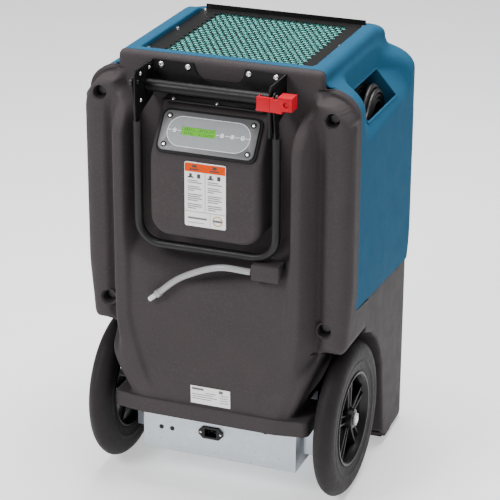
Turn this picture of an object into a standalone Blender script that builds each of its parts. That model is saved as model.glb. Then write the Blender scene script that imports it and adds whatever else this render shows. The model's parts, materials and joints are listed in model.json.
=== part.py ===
"""A commercial rotomoulded dehumidifier on two 12 inch wheels, as separate named parts.

Frame: metres, +Z up, front of the machine towards -Y, X across it, origin on the floor under
the middle of the machine.
"""
import math

import bmesh
import bpy
from mathutils import Matrix, Vector

# ---------------------------------------------------------------- driving dimensions
HALF_WIDTH = 0.257            # half of the overall width, at the front columns
DEPTH = 0.508                 # overall depth, latch front to rear face
TOP_Z = 0.840                 # rim round the air inlet
REAR_Y = DEPTH / 2
GAP = 0.0003                  # clearance between touching parts
WALL = 0.004                  # moulded wall thickness

COLUMN_Y = -0.192             # front plane of the two corner columns
FLOOR_Y = -0.165              # front plane of the neck and of the recess round the pod
RIDGE_RISE = 0.067            # how far the two inner ridges stand out of the recess floor
APRON_RISE = 0.060            # how far the apron below the pod stands out of it
GROOVE_RISE = 0.015           # bottom of the groove between ridge and column
NECK_HALF = 0.190
SHOULDER_Z = 0.8065           # top of the shoulders
SHOULDER_LOW_Z = 0.7575       # where the side walls turn into the shoulders
SHOULDER_ROWS = (SHOULDER_LOW_Z, 0.767, 0.778, 0.788, 0.796, 0.802, SHOULDER_Z, SHOULDER_Z + 0.004)
COLUMN_LOW_Z = 0.315          # underside of the columns, above the wheels
SHELF_TOP_Z = 0.190
SHELF_LOW_Z = 0.160
SHELF_HALF = 0.192
SHELF_RISE = 0.062
SIDE_SEAM_Y = -0.140          # joint between the front and the blue rear housing
NECK_SEAM_Y = -0.152
LOW_SEAM_Y = -0.055           # joint between the front and the grey rear housing
SHELF_SEAM_Y = -0.120
BLUE_LOW_FRONT_Z = 0.391      # lower edge of the blue housing at its front
BLUE_LOW_REAR_Z = 0.351       # and at the rear face
REAR_HALF = 0.244             # half width at the rear face

WHEEL_R = 0.149
WHEEL_Y = -0.091
WHEEL_X = 0.224
TYRE_WIDTH = 0.040
RIM_R = 0.090
ARCH_R = 0.165
AXLE_R = 0.008
AXLE_HALF = 0.2465

POD_HALF = 0.105
POD_LOW_Z = 0.527
POD_TOP_Z = 0.7645
POD_FRONT_Y = -0.238
PANEL_CENTRE = Vector((0, -0.2138, 0.7195))
PANEL_TILT = math.radians(36.2)       # from vertical, top leaning back
PANEL_SIZE = (0.180, 0.073)
PANEL_THICK = 0.003
GASKET_THICK = 0.003
KEY_R = 0.0042
KEY_ROW = 0.001               # height of the keys above the panel's centre
KEYS = {"key_power": -0.0643, "key_left": 0.0256, "key_middle": 0.0447, "key_right": 0.0641}
DISPLAY = (-0.0192, 0.0015, 0.064, 0.0155)     # centre across and up, width and height

EAR_X = 0.1255                # middle of each bracket ear
SHEET = 0.003                 # bracket sheet metal
EAR_FRONT_Y = -0.2475
PLATE_LOW_Z = 0.766
PLATE_TOP_Z = 0.831
BRACKET_SCREW_Z = 0.8225
PIVOT = (-0.236, 0.808)       # handle pivot, y and z
LEG_X = 0.131
LEG_Y = -0.224
HANDLE_R = 0.008
HANDLE_LOW_Z = 0.505
LEG_TOP_Z = 0.733
BEND_R = 0.042                # bend of the handle's tube
ARM_BOSS_R = 0.0112           # round end of each handle arm, about the pivot
LATCH_Z = (0.789, 0.817)
LIFT_BAR = (-0.195, 0.7915)   # y and z of the fixed lift bar
LIFT_BAR_R = 0.011

BASE_HALF = 0.154
BASE_FRONT_Y = -0.169
BASE_REAR_Y = 0.200
BASE_LOW_Z = 0.056
BASE_TOP_Z = 0.140
BASE_SHEET = 0.0016
POWER_INLET = (-0.0158, 0.1085)       # x and z
FOOT_LOW_Z = 0.011

WELL_HALF = 0.164             # recess in the top that the inlet grille sits in
WELL_FRONT_Y = -0.131
WELL_REAR_Y = 0.177
GRILLE_Z = 0.831              # top face of the inlet grille
GRILLE_THICK = 0.0015

RECESS_HOLES = ((0.2197, 0.764), (0.2109, 0.366))
RECESS_R = 0.0125
RECESS_DEPTH = 0.022

POCKET_Y = (-0.052, 0.115)    # cord pocket in the right wall
POCKET_LOW_Z = 0.559
SCOOP = ((0.690, 0.2580), (0.722, 0.2395), (0.767, 0.2000), (0.810, 0.1985))   # z and x of its floor
SCOOP_FRONT = (-0.112, -0.057)        # where it starts behind the seam, and is full depth
SCOOP_REAR = (0.119, 0.192)           # where it starts to rise again, and ends
SIDE_COLUMNS = (0.192, 0.178, 0.160, 0.140, 0.119, 0.030, -0.057, -0.075, -0.094, -0.112)
TOP_REAR_R = 0.024            # rounding of the neck's top at the rear
EXHAUST_Z = 0.585
EXHAUST_R = 0.118
FAN_Y = 0.200

HOSE_R = 0.006
HOSE_ROUTE = ((0.0875, -0.2335, 0.480), (0.025, -0.2375, 0.480), (-0.045, -0.2370, 0.450),
              (-0.095, -0.2350, 0.408))
COIL_CENTRE = (0.031, 0.6625)         # y and z of the wound mains lead
COIL_X = (0.1620, 0.2070)
COIL_HALF = 0.075
COIL_STRAIGHT = 0.050
COIL_DEEP = 0.027             # three layers of 9 mm cord

PARTS = "dehumidifier"
CUTTERS = "cutters"

COLOURS = {
    "moulded_grey": ((0.085, 0.078, 0.078), 0.55, 0.0),
    "moulded_blue": ((0.050, 0.165, 0.270), 0.50, 0.0),
    "black_coat": ((0.012, 0.012, 0.012), 0.45, 0.0),
    "zinc": ((0.62, 0.66, 0.69), 0.35, 0.9),
    "steel": ((0.55, 0.55, 0.55), 0.30, 1.0),
    "tyre_rubber": ((0.055, 0.052, 0.052), 0.75, 0.0),
    "black_rubber": ((0.020, 0.020, 0.020), 0.80, 0.0),
    "black_plastic": ((0.015, 0.015, 0.015), 0.45, 0.0),
    "panel_silver": ((0.38, 0.40, 0.41), 0.40, 0.0),
    "display_green": ((0.30, 0.65, 0.05), 0.25, 0.0),
    "key_white": ((0.65, 0.68, 0.68), 0.45, 0.0),
    "latch_red": ((0.75, 0.01, 0.025), 0.35, 0.0),
    "filter_teal": ((0.11, 0.42, 0.36), 0.80, 0.0),
    "hose_clear": ((0.50, 0.50, 0.50), 0.30, 0.0),
    "aluminium": ((0.60, 0.61, 0.62), 0.35, 1.0),
    "board_green": ((0.02, 0.16, 0.06), 0.45, 0.0),
}


# ---------------------------------------------------------------- scene and materials
def clear_scene():
    for old in list(bpy.data.objects):
        bpy.data.objects.remove(old, do_unlink=True)


def make_collection(name):
    collection = bpy.data.collections.new(name)
    bpy.context.scene.collection.children.link(collection)
    return collection


def make_materials():
    made = {}
    for name, (colour, roughness, metallic) in COLOURS.items():
        material = bpy.data.materials.new(name)
        material.use_nodes = True
        shader = material.node_tree.nodes["Principled BSDF"]
        shader.inputs["Base Color"].default_value = (*colour, 1)
        shader.inputs["Roughness"].default_value = roughness
        shader.inputs["Metallic"].default_value = metallic
        made[name] = material
    return made


clear_scene()
parts = make_collection(PARTS)
cutters = make_collection(CUTTERS)
materials = make_materials()


# ---------------------------------------------------------------- helpers
def smooth(t):
    """0 below 0, 1 above 1, with an S curve between."""
    t = min(max(t, 0.0), 1.0)
    return t * t * (3 - 2 * t)


def mix(a, b, t):
    return a + (b - a) * t


def place(obj, material=None):
    """Put an object in the parts, or among the cutters when it has no material."""
    for collection in list(obj.users_collection):
        collection.objects.unlink(obj)
    if material:
        parts.objects.link(obj)
        obj.data.materials.clear()
        obj.data.materials.append(materials[material])
    else:
        cutters.objects.link(obj)
        obj.hide_render = True
        obj.display_type = 'WIRE'
    return obj


def take_mesh(name, mesh, material=None, location=(0, 0, 0)):
    obj = bpy.data.objects.new(name, mesh)
    obj.location = location
    bpy.context.scene.collection.objects.link(obj)
    return place(obj, material)


def bevel(obj, width, segments=2, angle=30):
    modifier = obj.modifiers.new("rounded edges", 'BEVEL')
    modifier.width = width
    modifier.segments = segments
    modifier.limit_method = 'ANGLE'
    modifier.angle_limit = math.radians(angle)
    return obj


def soften(obj, angle=40):
    obj.data.shade_smooth()
    obj.data.set_sharp_from_angle(angle=math.radians(angle))
    return obj


def box(name, low, high, material=None, edge=0.0, segments=2):
    """A box between two corners, with its scale applied."""
    size = [b - a for a, b in zip(low, high)]
    centre = [(a + b) / 2 for a, b in zip(low, high)]
    bpy.ops.mesh.primitive_cube_add(size=1, location=centre)
    obj = bpy.context.active_object
    obj.name = name
    obj.data.transform(Matrix.Diagonal((*size, 1)))
    place(obj, material)
    return bevel(obj, edge, segments) if edge else obj


def cylinder(name, radius, start, end, material=None, sides=24, edge=0.0, tip=None):
    """A cylinder, or a cone when tip is given, from one point to another."""
    start = Vector(start)
    end = Vector(end)
    bm = bmesh.new()
    bmesh.ops.create_cone(bm, cap_ends=True, segments=sides, radius1=radius,
                          radius2=radius if tip is None else tip, depth=(end - start).length)
    mesh = bpy.data.meshes.new(name)
    bm.to_mesh(mesh)
    bm.free()
    obj = take_mesh(name, mesh, material, (start + end) / 2)
    obj.rotation_euler = (end - start).to_track_quat('Z', 'Y').to_euler()
    soften(obj)
    return bevel(obj, edge, 2, 50) if edge else obj


def turned(name, profile, location, material, steps=32, axis='X'):
    """A profile of (radius, distance along the axis) pairs, turned into a closed ring or disc."""
    mesh = bpy.data.meshes.new(name)
    points = [(radius, 0, along) for radius, along in profile]
    closed = profile[0][0] > 0
    count = len(points)
    edges = [(i, (i + 1) % count) for i in range(count if closed else count - 1)]
    mesh.from_pydata(points, edges, [])
    obj = take_mesh(name, mesh, material, location)
    turn = obj.modifiers.new("turned", 'SCREW')
    turn.axis = 'Z'
    turn.steps = steps
    turn.render_steps = steps
    turn.use_merge_vertices = True
    turn.merge_threshold = 0.0001
    if axis == 'X':
        obj.rotation_euler = (0, math.radians(90), 0)
    if axis == 'Y':
        obj.rotation_euler = (math.radians(90), 0, 0)
    return obj


def smooth_route(points, count):
    """Evenly spaced points on a Catmull-Rom curve through the given ones."""
    ends = [2 * Vector(points[0]) - Vector(points[1])]
    knots = ends + [Vector(p) for p in points] + [2 * Vector(points[-1]) - Vector(points[-2])]
    fine = []
    for i in range(1, len(knots) - 2):
        a, b, c, d = knots[i - 1:i + 3]
        for step in range(24):
            t = step / 24
            fine.append(0.5 * (2 * b + (c - a) * t + (2 * a - 5 * b + 4 * c - d) * t ** 2
                               + (3 * b - a - 3 * c + d) * t ** 3))
    fine.append(Vector(points[-1]))
    lengths = [0.0]
    for a, b in zip(fine, fine[1:]):
        lengths.append(lengths[-1] + (b - a).length)
    route = []
    k = 0
    for i in range(count):
        goal = lengths[-1] * i / (count - 1)
        while k < len(fine) - 2 and lengths[k + 1] < goal:
            k += 1
        span = lengths[k + 1] - lengths[k]
        route.append(fine[k].lerp(fine[k + 1], (goal - lengths[k]) / span))
    return route


def tube(name, points, radius, material, sides_level=2):
    curve = bpy.data.curves.new(name, 'CURVE')
    curve.dimensions = '3D'
    curve.bevel_depth = radius
    curve.bevel_resolution = sides_level
    curve.use_fill_caps = True
    spline = curve.splines.new('POLY')
    spline.points.add(len(points) - 1)
    for point, place_at in zip(spline.points, points):
        point.co = (*place_at, 1)
    obj = bpy.data.objects.new(name, curve)
    bpy.context.scene.collection.objects.link(obj)
    return place(obj, material)


def plate(name, outline, low, high, plane, material=None):
    """A flat outline made solid between two values of the axis it faces."""
    bm = bmesh.new()
    order = {'X': lambda a, b, c: (c, a, b), 'Y': lambda a, b, c: (a, c, b),
             'Z': lambda a, b, c: (a, b, c)}[plane]
    bottom = [bm.verts.new(order(a, b, low)) for a, b in outline]
    face = bm.faces.new(bottom)
    sweep = bmesh.ops.extrude_face_region(bm, geom=[face])
    moved = [item for item in sweep["geom"] if isinstance(item, bmesh.types.BMVert)]
    bmesh.ops.translate(bm, vec=order(0, 0, high - low), verts=moved)
    bmesh.ops.recalc_face_normals(bm, faces=bm.faces)
    mesh = bpy.data.meshes.new(name)
    bm.to_mesh(mesh)
    bm.free()
    return take_mesh(name, mesh, material)


def rounded_rectangle(width, height, radius, steps=4, centre=(0, 0)):
    """Corner arcs of a rounded rectangle, counter-clockwise."""
    outline = []
    for quarter in range(4):
        turn = math.radians(90 * quarter)
        sx = 1 if quarter in (0, 3) else -1
        sz = 1 if quarter in (0, 1) else -1
        cx = centre[0] + sx * (width / 2 - radius)
        cz = centre[1] + sz * (height / 2 - radius)
        for step in range(steps + 1):
            angle = turn + math.radians(90) * step / steps
            outline.append((cx + radius * math.cos(angle), cz + radius * math.sin(angle)))
    return outline


def boolean(target, other, operation='DIFFERENCE'):
    """Cut another object out of a target, or join it on; the other becomes a guide."""
    place(other)
    modifier = target.modifiers.new(operation.lower(), 'BOOLEAN')
    modifier.operation = operation
    modifier.solver = 'EXACT'
    modifier.object = other
    return target


def shell_mesh(name, outer, inner):
    """A closed wall between an outer and an inner sheet with the same rows and columns.

    The last strip is split into triangles that lean towards the middle, because its ends lie
    in the plane of the rim.
    """
    across, count = len(outer[0]), len(outer) * len(outer[0])
    points = [point for row in outer + inner for point in row]
    faces = []
    for r in range(len(outer) - 1):
        for c in range(across - 1):
            a = r * across + c
            b = a + across
            strip = [(a, b, b + 1, a + 1)]
            if r == len(outer) - 2:
                strip = [(a, b, a + 1), (a + 1, b, b + 1)]
                if c >= across // 2:
                    strip = [(a, b, b + 1), (a, b + 1, a + 1)]
            faces += strip
            faces += [tuple(count + i for i in reversed(face)) for face in strip]
    last = (len(outer) - 1) * across
    rim = list(range(across)) + [r * across + across - 1 for r in range(1, len(outer))]
    rim += list(range(last + across - 2, last - 1, -1))
    rim += [r * across for r in range(len(outer) - 2, 0, -1)]
    for a, b in zip(rim, rim[1:] + rim[:1]):
        faces.append((a, b, count + b, count + a))
    mesh = bpy.data.meshes.new(name)
    mesh.from_pydata(points, [], faces)
    return mesh


# ---------------------------------------------------------------- front housing
def ridge_inner(z):
    """Half distance between the inner edges of the two ridges."""
    if z > 0.73:
        return mix(0.152, 0.184, smooth((z - 0.73) / 0.055) ** 1.2)
    return 0.152 - 0.047 * max(0.0, (0.37 - z) / 0.175) ** 1.4


def ridge_outer(z):
    """Half distance to the groove on the outer side of each ridge."""
    if z > 0.73:
        return mix(0.199, 0.190, smooth((z - 0.73) / 0.055))
    return 0.199 - 0.047 * min(1.0, max(0.0, (0.37 - z) / 0.18)) ** 1.9


def half_width(z):
    """Half width of the front housing at a height."""
    if z > SHOULDER_Z:
        over = max(0.0, z - (TOP_Z - 0.010)) / 0.010
        return NECK_HALF - 0.010 * (1 - math.sqrt(max(0.0, 1 - over * over)))
    if z > SHOULDER_LOW_Z:
        rise = (z - SHOULDER_LOW_Z) / (SHOULDER_Z + 0.001 - SHOULDER_LOW_Z)
        return NECK_HALF + (HALF_WIDTH - NECK_HALF) * math.sqrt(1 - rise * rise)
    if z > COLUMN_LOW_Z:
        corner = max(0.0, 1 - (z - COLUMN_LOW_Z) / 0.018)
        taper = 0.008 * smooth((0.45 - z) / 0.13)
        return HALF_WIDTH - taper - 0.014 * (1 - math.sqrt(1 - corner * corner))
    if z > SHELF_TOP_Z:
        return ridge_outer(z) + 0.006
    return SHELF_HALF


def edge_radius(z):
    if z > SHOULDER_Z:
        return 0.010
    if z > COLUMN_LOW_Z:
        return mix(0.028, 0.020, smooth((z - 0.735) / 0.035))
    return 0.012


def seam_y(z):
    if z > SHOULDER_Z:
        return NECK_SEAM_Y
    if z > BLUE_LOW_FRONT_Z - 0.0015:
        return SIDE_SEAM_Y
    if z > SHELF_TOP_Z + 0.010:
        return LOW_SEAM_Y
    return SHELF_SEAM_Y


def apron_edge(x):
    """Height of the apron's upper edge, lowest in the middle."""
    return 0.440 + 0.042 * min(1.0, abs(x) / 0.150) ** 2


def front_rise(x, z, inset=0.0):
    """How far the front face stands out of the recess floor, before its edge is rounded.

    With an inset it is the inner face of the wall, where every ridge is narrower by it.
    """
    x = abs(x)
    column = COLUMN_Y - FLOOR_Y
    inner = ridge_inner(z) + inset
    outer = ridge_outer(z) - inset
    if z <= SHELF_TOP_Z:
        return SHELF_RISE - 0.010 * smooth((x - 0.12) / 0.08)
    fade = smooth((z - 0.700) / 0.084)
    ridge = mix(RIDGE_RISE, -column, fade) - 0.010 * smooth((0.26 - z) / 0.07)
    lean = 0.004 * math.sin(math.pi * min(max((z - SHELF_TOP_Z) / 0.28, 0), 1))
    apron = (APRON_RISE - 0.004 + lean) * smooth((apron_edge(x) + 0.052 - z) / 0.060)
    share = smooth((z - 0.275) / 0.040)
    low = mix(ridge - 0.006, mix(GROOVE_RISE, -column, fade), share)
    outside = mix(ridge - 0.010, -column, share)
    flank = mix(low, outside, smooth((x - outer - 2 * inset) / 0.014))
    value = mix(ridge, flank, smooth((x - outer + 0.022) / 0.020))
    value *= 1 - smooth((z - SHOULDER_Z + 0.020) / 0.018)
    return mix(apron, value, smooth((x - inner + 0.006) / 0.014))


def edge_distance(x, z):
    """Distance from a point of the front face to the outline, where the edge is rounded."""
    x = abs(x)
    distance = half_width(z) - x
    if SHOULDER_LOW_Z < z <= SHOULDER_Z:
        a = max(0.0, x - NECK_HALF) / (HALF_WIDTH - NECK_HALF)
        b = (z - SHOULDER_LOW_Z) / (SHOULDER_Z - SHOULDER_LOW_Z)
        round_off = (1 - math.hypot(a, b)) * (SHOULDER_Z - SHOULDER_LOW_Z)
        distance = min(distance, mix(0.04, round_off, smooth((x - NECK_HALF + 0.004) / 0.010)))
    if z > SHOULDER_Z:
        distance = min(distance, TOP_Z - z)
    if COLUMN_LOW_Z < z < COLUMN_LOW_Z + 0.035:
        beside = smooth((x - ridge_outer(z)) / 0.012)
        distance = min(distance, mix(0.035, z - COLUMN_LOW_Z, beside))
    return max(distance, 0.0)


def front_y(x, z, inset=0.0):
    radius = edge_radius(z)
    past = max(0.0, radius - edge_distance(x, z))
    rolled = radius - math.sqrt(max(0.0, radius * radius - past * past))
    return FLOOR_Y - front_rise(x, z, inset) + rolled * (1 - inset / radius) + inset


def inner_height(z):
    """Height of the wall's inner face: lifted over the columns' undersides, lowered under tops."""
    if z > SHOULDER_Z:
        return z - WALL
    drop = WALL * max(0.0, (z - SHOULDER_LOW_Z) / (SHOULDER_Z - SHOULDER_LOW_Z))
    drop += WALL * (smooth((z - SHELF_LOW_Z) / 0.03) if z < SHELF_TOP_Z + 0.003 else 0)
    lift = WALL * smooth((z - 0.26) / 0.05) * smooth((0.385 - z) / 0.05)
    return z - drop + lift


def front_row(z, inset=0.0, fine=1):
    """Points along the front housing at one height, from the right seam to the left one."""
    width, radius = half_width(z), edge_radius(z)
    outer = ridge_outer(z) - inset
    inner = min(ridge_inner(z) + inset, outer - 0.039)
    marks = [0, 0.3 * inner, 0.6 * inner, 0.82 * inner, inner - 0.007, inner,
             inner + 0.007, mix(inner, outer, 0.5), outer - 0.012]
    last = width - radius
    if last <= marks[-1]:
        marks = [mark * (last - 0.002) / marks[-1] for mark in marks]
    marks += [mix(marks[-1], last, step / 3) for step in (1, 2, 3)]
    columns = []
    for a, b in zip(marks, marks[1:]):
        columns += [mix(a, b, step / fine) for step in range(fine)]
    height = inner_height(z) if inset else z
    right = [(x, front_y(x, z, inset), height) for x in columns]
    turns = 3 * fine
    for step in range(turns + 1):
        x = last + radius * math.sin(math.radians(90) * step / turns)
        shrunk = last + (x - last) * (1 - inset / radius)
        right.append((shrunk, front_y(x, z, inset), height))
    start = right[-1][1]
    for step in range(1, 2 * fine + 1):
        right.append((width - inset, mix(start, seam_y(z), step / (2 * fine)), height))
    left = [(-x, y, h) for x, y, h in right[1:]]
    return right[::-1] + left


def front_heights():
    heights = [SHELF_LOW_Z, 0.170, 0.186, SHELF_TOP_Z, SHELF_TOP_Z + 0.002, 0.245, 0.300]
    heights += [COLUMN_LOW_Z + step for step in (0, 0.0015, 0.007, 0.025)]
    heights += [blue_low_z(LOW_SEAM_Y) - 0.0010, BLUE_LOW_FRONT_Z - 0.0006]
    heights += [0.435, 0.465, 0.495, 0.523]
    heights += [0.620, 0.700, 0.735, *SHOULDER_ROWS]
    heights += [TOP_Z - 0.010, TOP_Z - 0.005, TOP_Z - 0.0015]
    return heights


def top_row(row, height):
    """The row that closes the neck's top, along its seam with the blue housing."""
    right = row[:len(row) // 2 + 1]
    width = right[0][0]
    count = sum(1 for x, y, z in right if x > width - 0.007)
    inner_x = right[count][0]
    closed = []
    for i, (x, _, _) in enumerate(right):
        x = mix(inner_x, width, (count - i) / (count + 1)) if i < count else x
        closed.append((x, NECK_SEAM_Y, height))
    return closed + [(-x, y, z) for x, y, z in closed[-2::-1]]


def front_housing():
    outer = [front_row(z) for z in front_heights()]
    inner = [front_row(z, WALL) for z in front_heights()]
    outer.append(top_row(outer[-1], TOP_Z))
    inner.append(top_row(inner[-1], TOP_Z - WALL))
    shell = take_mesh("front_housing", shell_mesh("front_housing", outer, inner), "moulded_grey")
    for x, z in RECESS_HOLES:
        for side in (-1, 1):
            level = "upper" if z > 0.5 else "lower"
            name = f"recess_{level}_{'left' if side < 0 else 'right'}"
            rim_y = front_y(x, z) + 0.001
            back_y = rim_y + RECESS_DEPTH + 0.005
            boolean(shell, cylinder(name + "_cup", RECESS_R + 0.003, (side * x, rim_y, z),
                                    (side * x, back_y, z), sides=16), 'UNION')
            boolean(shell, cylinder(name + "_bore", RECESS_R, (side * x, rim_y - 0.02, z),
                                    (side * x, back_y - 0.004, z), sides=16))
    return soften(shell)


# ---------------------------------------------------------------- rear housings
def side_taper(y):
    """How much the side walls have drawn in at a depth, measured from the front seam."""
    return (HALF_WIDTH - REAR_HALF) * smooth(0.15 + 0.7 * (y - SIDE_SEAM_Y) / (REAR_Y - SIDE_SEAM_Y))


def blue_low_z(y):
    """Lower edge of the blue housing, which falls towards the rear."""
    return mix(BLUE_LOW_FRONT_Z, BLUE_LOW_REAR_Z, (y - SIDE_SEAM_Y) / (REAR_Y - SIDE_SEAM_Y))


def rear_y(z):
    """Rear face at a height, leaning in over the shoulders."""
    if z > SHOULDER_Z:
        over = max(0.0, z - (TOP_Z - TOP_REAR_R)) / TOP_REAR_R
        return 0.218 - TOP_REAR_R * (1 - math.sqrt(max(0.0, 1 - over * over)))
    rise = max(0.0, (z - SHOULDER_LOW_Z) / (SHOULDER_Z + 0.001 - SHOULDER_LOW_Z))
    return 0.218 + (REAR_Y - 0.218) * math.sqrt(1 - rise * rise)


def rear_row(z, inset=0.0):
    """Points round the blue housing at one height, from the left seam to the right one."""
    back = rear_y(z) - inset
    seam = seam_y(max(z, BLUE_LOW_FRONT_Z)) + GAP
    radius = (0.036 if z <= SHOULDER_Z else 0.030) - inset
    width = half_width(z) - inset
    shift = side_taper(back)
    last = width - shift - radius
    height = inner_height(z) if inset else z
    right = [(last * step / 5, back, height) for step in range(6)]
    for step in range(1, 5):
        angle = math.radians(90) * step / 4
        right.append((last + radius * math.sin(angle), back - radius * (1 - math.cos(angle)),
                      height))
    start = right[-1][1]
    for step, y in enumerate(SIDE_COLUMNS + (seam,), 1):
        y = min(y, start - 0.002 * step)
        right.append((width - side_taper(y), y, height))
    lean = smooth((0.52 - z) / (0.52 - BLUE_LOW_FRONT_Z))
    right = [(x, y, h + lean * (blue_low_z(y) - BLUE_LOW_FRONT_Z)) for x, y, h in right]
    left = [(-x, y, h) for x, y, h in right[1:]]
    return left[::-1] + [(scooped(x, y, z, inset), y, h) for x, y, h in right]


def scooped(x, y, z, inset):
    """Push a point of the right wall in to the scoop that leads to the cord pocket."""
    along = smooth((y - SCOOP_FRONT[0]) / (SCOOP_FRONT[1] - SCOOP_FRONT[0]))
    behind = min(max((SCOOP_REAR[1] - y) / (SCOOP_REAR[1] - SCOOP_REAR[0]), 0.0), 1.0)
    along *= 1 - (1 - behind) ** 2
    if not along or z < SCOOP[0][0] or z > SHOULDER_Z:
        return x
    for (low, x_low), (high, x_high) in zip(SCOOP, SCOOP[1:]):
        if low <= z <= high:
            floor_x = mix(x_low, x_high, (z - low) / (high - low)) - 1.5 * inset
            return mix(x, min(x, floor_x), along)
    return x


def deck_row(row, height):
    """The row where the neck's top turns in towards the air inlet."""
    return [(x * 0.90, y - 0.012 * smooth((y + 0.05) / 0.2), height) for x, y, _ in row]


def upper_rear_housing():
    heights = [BLUE_LOW_FRONT_Z, 0.400, 0.46, 0.52, 0.62, SCOOP[0][0], 0.706, SCOOP[1][0], 0.745]
    heights += [*SHOULDER_ROWS, 0.820, TOP_Z - 0.010, TOP_Z - 0.004, TOP_Z - 0.001]
    outer = [rear_row(z) for z in heights]
    inner = [rear_row(z, WALL) for z in heights]
    outer.append(deck_row(outer[-1], TOP_Z))
    inner.append(deck_row(inner[-1], TOP_Z - WALL))
    shell = take_mesh("upper_rear_housing", shell_mesh("upper_rear_housing", outer, inner),
                      "moulded_blue")
    front = NECK_SEAM_Y + 2 * GAP
    boolean(shell, box("deck_tray", (-0.174, front, 0.822), (0.174, 0.192, TOP_Z - 0.0004)),
            'UNION')
    boolean(shell, box("deck_front", (-0.180, front, 0.829),
                       (0.180, WELL_FRONT_Y - 0.001, TOP_Z - 0.0008)), 'UNION')
    boolean(shell, box("inlet_well", (-WELL_HALF, WELL_FRONT_Y, GRILLE_Z - GRILLE_THICK - GAP),
                       (WELL_HALF, WELL_REAR_Y, 0.9)))
    boolean(shell, box("inlet_opening", (-0.150, -0.112, 0.8), (0.150, 0.163, 0.9)))
    pocket(shell)
    boolean(shell, cylinder("exhaust_opening", EXHAUST_R, (0, 0.2, EXHAUST_Z),
                            (0, 0.3, EXHAUST_Z), sides=32))
    return soften(shell)


def pocket(shell):
    """The cord pocket: a box inside the right wall with its mouth across the shoulder."""
    (lip_z, lip_x), (roof_z, roof_x) = SCOOP[1], SCOOP[2]
    outer_x = lip_x + WALL
    block = [(0.150, POCKET_LOW_Z - WALL), (outer_x, POCKET_LOW_Z - WALL), (outer_x, lip_z - 0.010),
             (lip_x - 0.001, lip_z - 0.0005), (roof_x - 0.001, roof_z - 0.0005),
             (roof_x - 0.0012, roof_z + WALL), (0.150, roof_z + WALL)]
    low, high = POCKET_Y
    boolean(shell, plate("pocket_block", block, low - WALL, high + WALL, 'Y'), 'UNION')
    hollow = [(0.154, POCKET_LOW_Z), (lip_x, POCKET_LOW_Z), (lip_x, lip_z), (0.28, lip_z),
              (0.28, roof_z), (0.154, roof_z)]
    boolean(shell, plate("pocket_hollow", hollow, low, high, 'Y'))


def lower_rear_housing():
    """The grey base with its wheel arches and two rear feet."""
    front = LOW_SEAM_Y + GAP
    outline = [(0.2475, front), (0.2385, REAR_Y - 0.036)]
    outline += [(0.2025 + 0.036 * math.cos(math.radians(90) * step / 4),
                 REAR_Y - 0.036 + 0.036 * math.sin(math.radians(90) * step / 4))
                for step in range(1, 5)]
    outline += [(-x, y) for x, y in reversed(outline)]
    body = plate("lower_rear_housing", outline, FOOT_LOW_Z, 0.40, 'Z', "moulded_grey")
    roof = [(-0.1, blue_low_z(-0.1) - GAP), (0.3, blue_low_z(0.3) - GAP), (0.3, 0.5), (-0.1, 0.5)]
    boolean(body, plate("base_roof", roof, -0.3, 0.3, 'X'))
    arc = [(WHEEL_Y + ARCH_R * math.cos(math.radians(15 * step)),
            WHEEL_R + ARCH_R * math.sin(math.radians(15 * step))) for step in range(7)]
    arch = [(-0.3, -0.01), (0.1165, -0.01), (0.112, 0.018), (0.091, 0.034)] + arc
    arch += [(-0.3, WHEEL_R + ARCH_R)]
    boolean(body, plate("arch_right", arch, 0.190, 0.30, 'X'))
    boolean(body, plate("arch_left", arch, -0.30, -0.190, 'X'))
    back = REAR_Y - WALL
    boolean(body, box("base_hollow", (-0.185, -0.1, 0.062), (0.185, back, 0.45)))
    inside = [(0.2335, 0.098), (0.2335, REAR_Y - 0.038), (0.2225, back - 0.012), (0.2, back - 0.001)]
    inside += [(-x, y) for x, y in reversed(inside)]
    boolean(body, plate("feet_hollow", inside, 0.020, 0.44, 'Z'))
    boolean(body, box("side_hollow", (-0.2375, -0.1, 0.322), (0.2375, 0.11, 0.46)))
    boolean(body, box("feet_gap", (-0.150, -0.1, -0.05), (0.150, 0.3, 0.050)))
    boolean(body, box("pan_gap", (-BASE_HALF - 0.0015, -0.1, 0), (BASE_HALF + 0.0015,
                                                                BASE_REAR_Y + 0.0015, 0.07)))
    return soften(body)


def foot_pads():
    for side, name in ((-1, "left"), (1, "right")):
        low, high = sorted((side * 0.160, side * 0.230))
        box(f"rear_foot_pad_{name}", (low, 0.128, 0), (high, 0.240, FOOT_LOW_Z - GAP),
            "black_rubber", 0.003)


# ---------------------------------------------------------------- control pod
def pod_face_y(z):
    """Front of the pod: upright below, leaning back behind the control panel."""
    normal = Vector((-math.cos(PANEL_TILT), math.sin(PANEL_TILT)))
    behind = PANEL_THICK + GASKET_THICK + 2 * GAP
    seat = Vector((PANEL_CENTRE.y, PANEL_CENTRE.z)) - normal * behind
    return seat.x + (z - seat.y) * math.tan(PANEL_TILT)


def control_pod():
    back = FLOOR_Y - GAP
    outline = [(POD_FRONT_Y, POD_LOW_Z), (back, POD_LOW_Z), (back, POD_TOP_Z),
               (pod_face_y(POD_TOP_Z), POD_TOP_Z)]
    knee_z = POD_TOP_Z - (pod_face_y(POD_TOP_Z) - POD_FRONT_Y) / math.tan(PANEL_TILT)
    outline.append((POD_FRONT_Y, knee_z))
    pod = plate("control_pod", outline, -POD_HALF, POD_HALF, 'X', "moulded_grey")
    bevel(pod, 0.012, 3, 20)
    boolean(pod, box("pod_hollow", (-0.096, POD_FRONT_Y + 0.030, POD_LOW_Z + 0.010),
                     (0.096, back + 0.02, 0.715)))
    return soften(pod)


def on_panel(obj):
    """Lay a piece made flat at the origin on the control panel."""
    upright = Matrix.Rotation(math.radians(90) - PANEL_TILT, 4, 'X')
    obj.matrix_world = Matrix.Translation(PANEL_CENTRE) @ upright
    return obj


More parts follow.
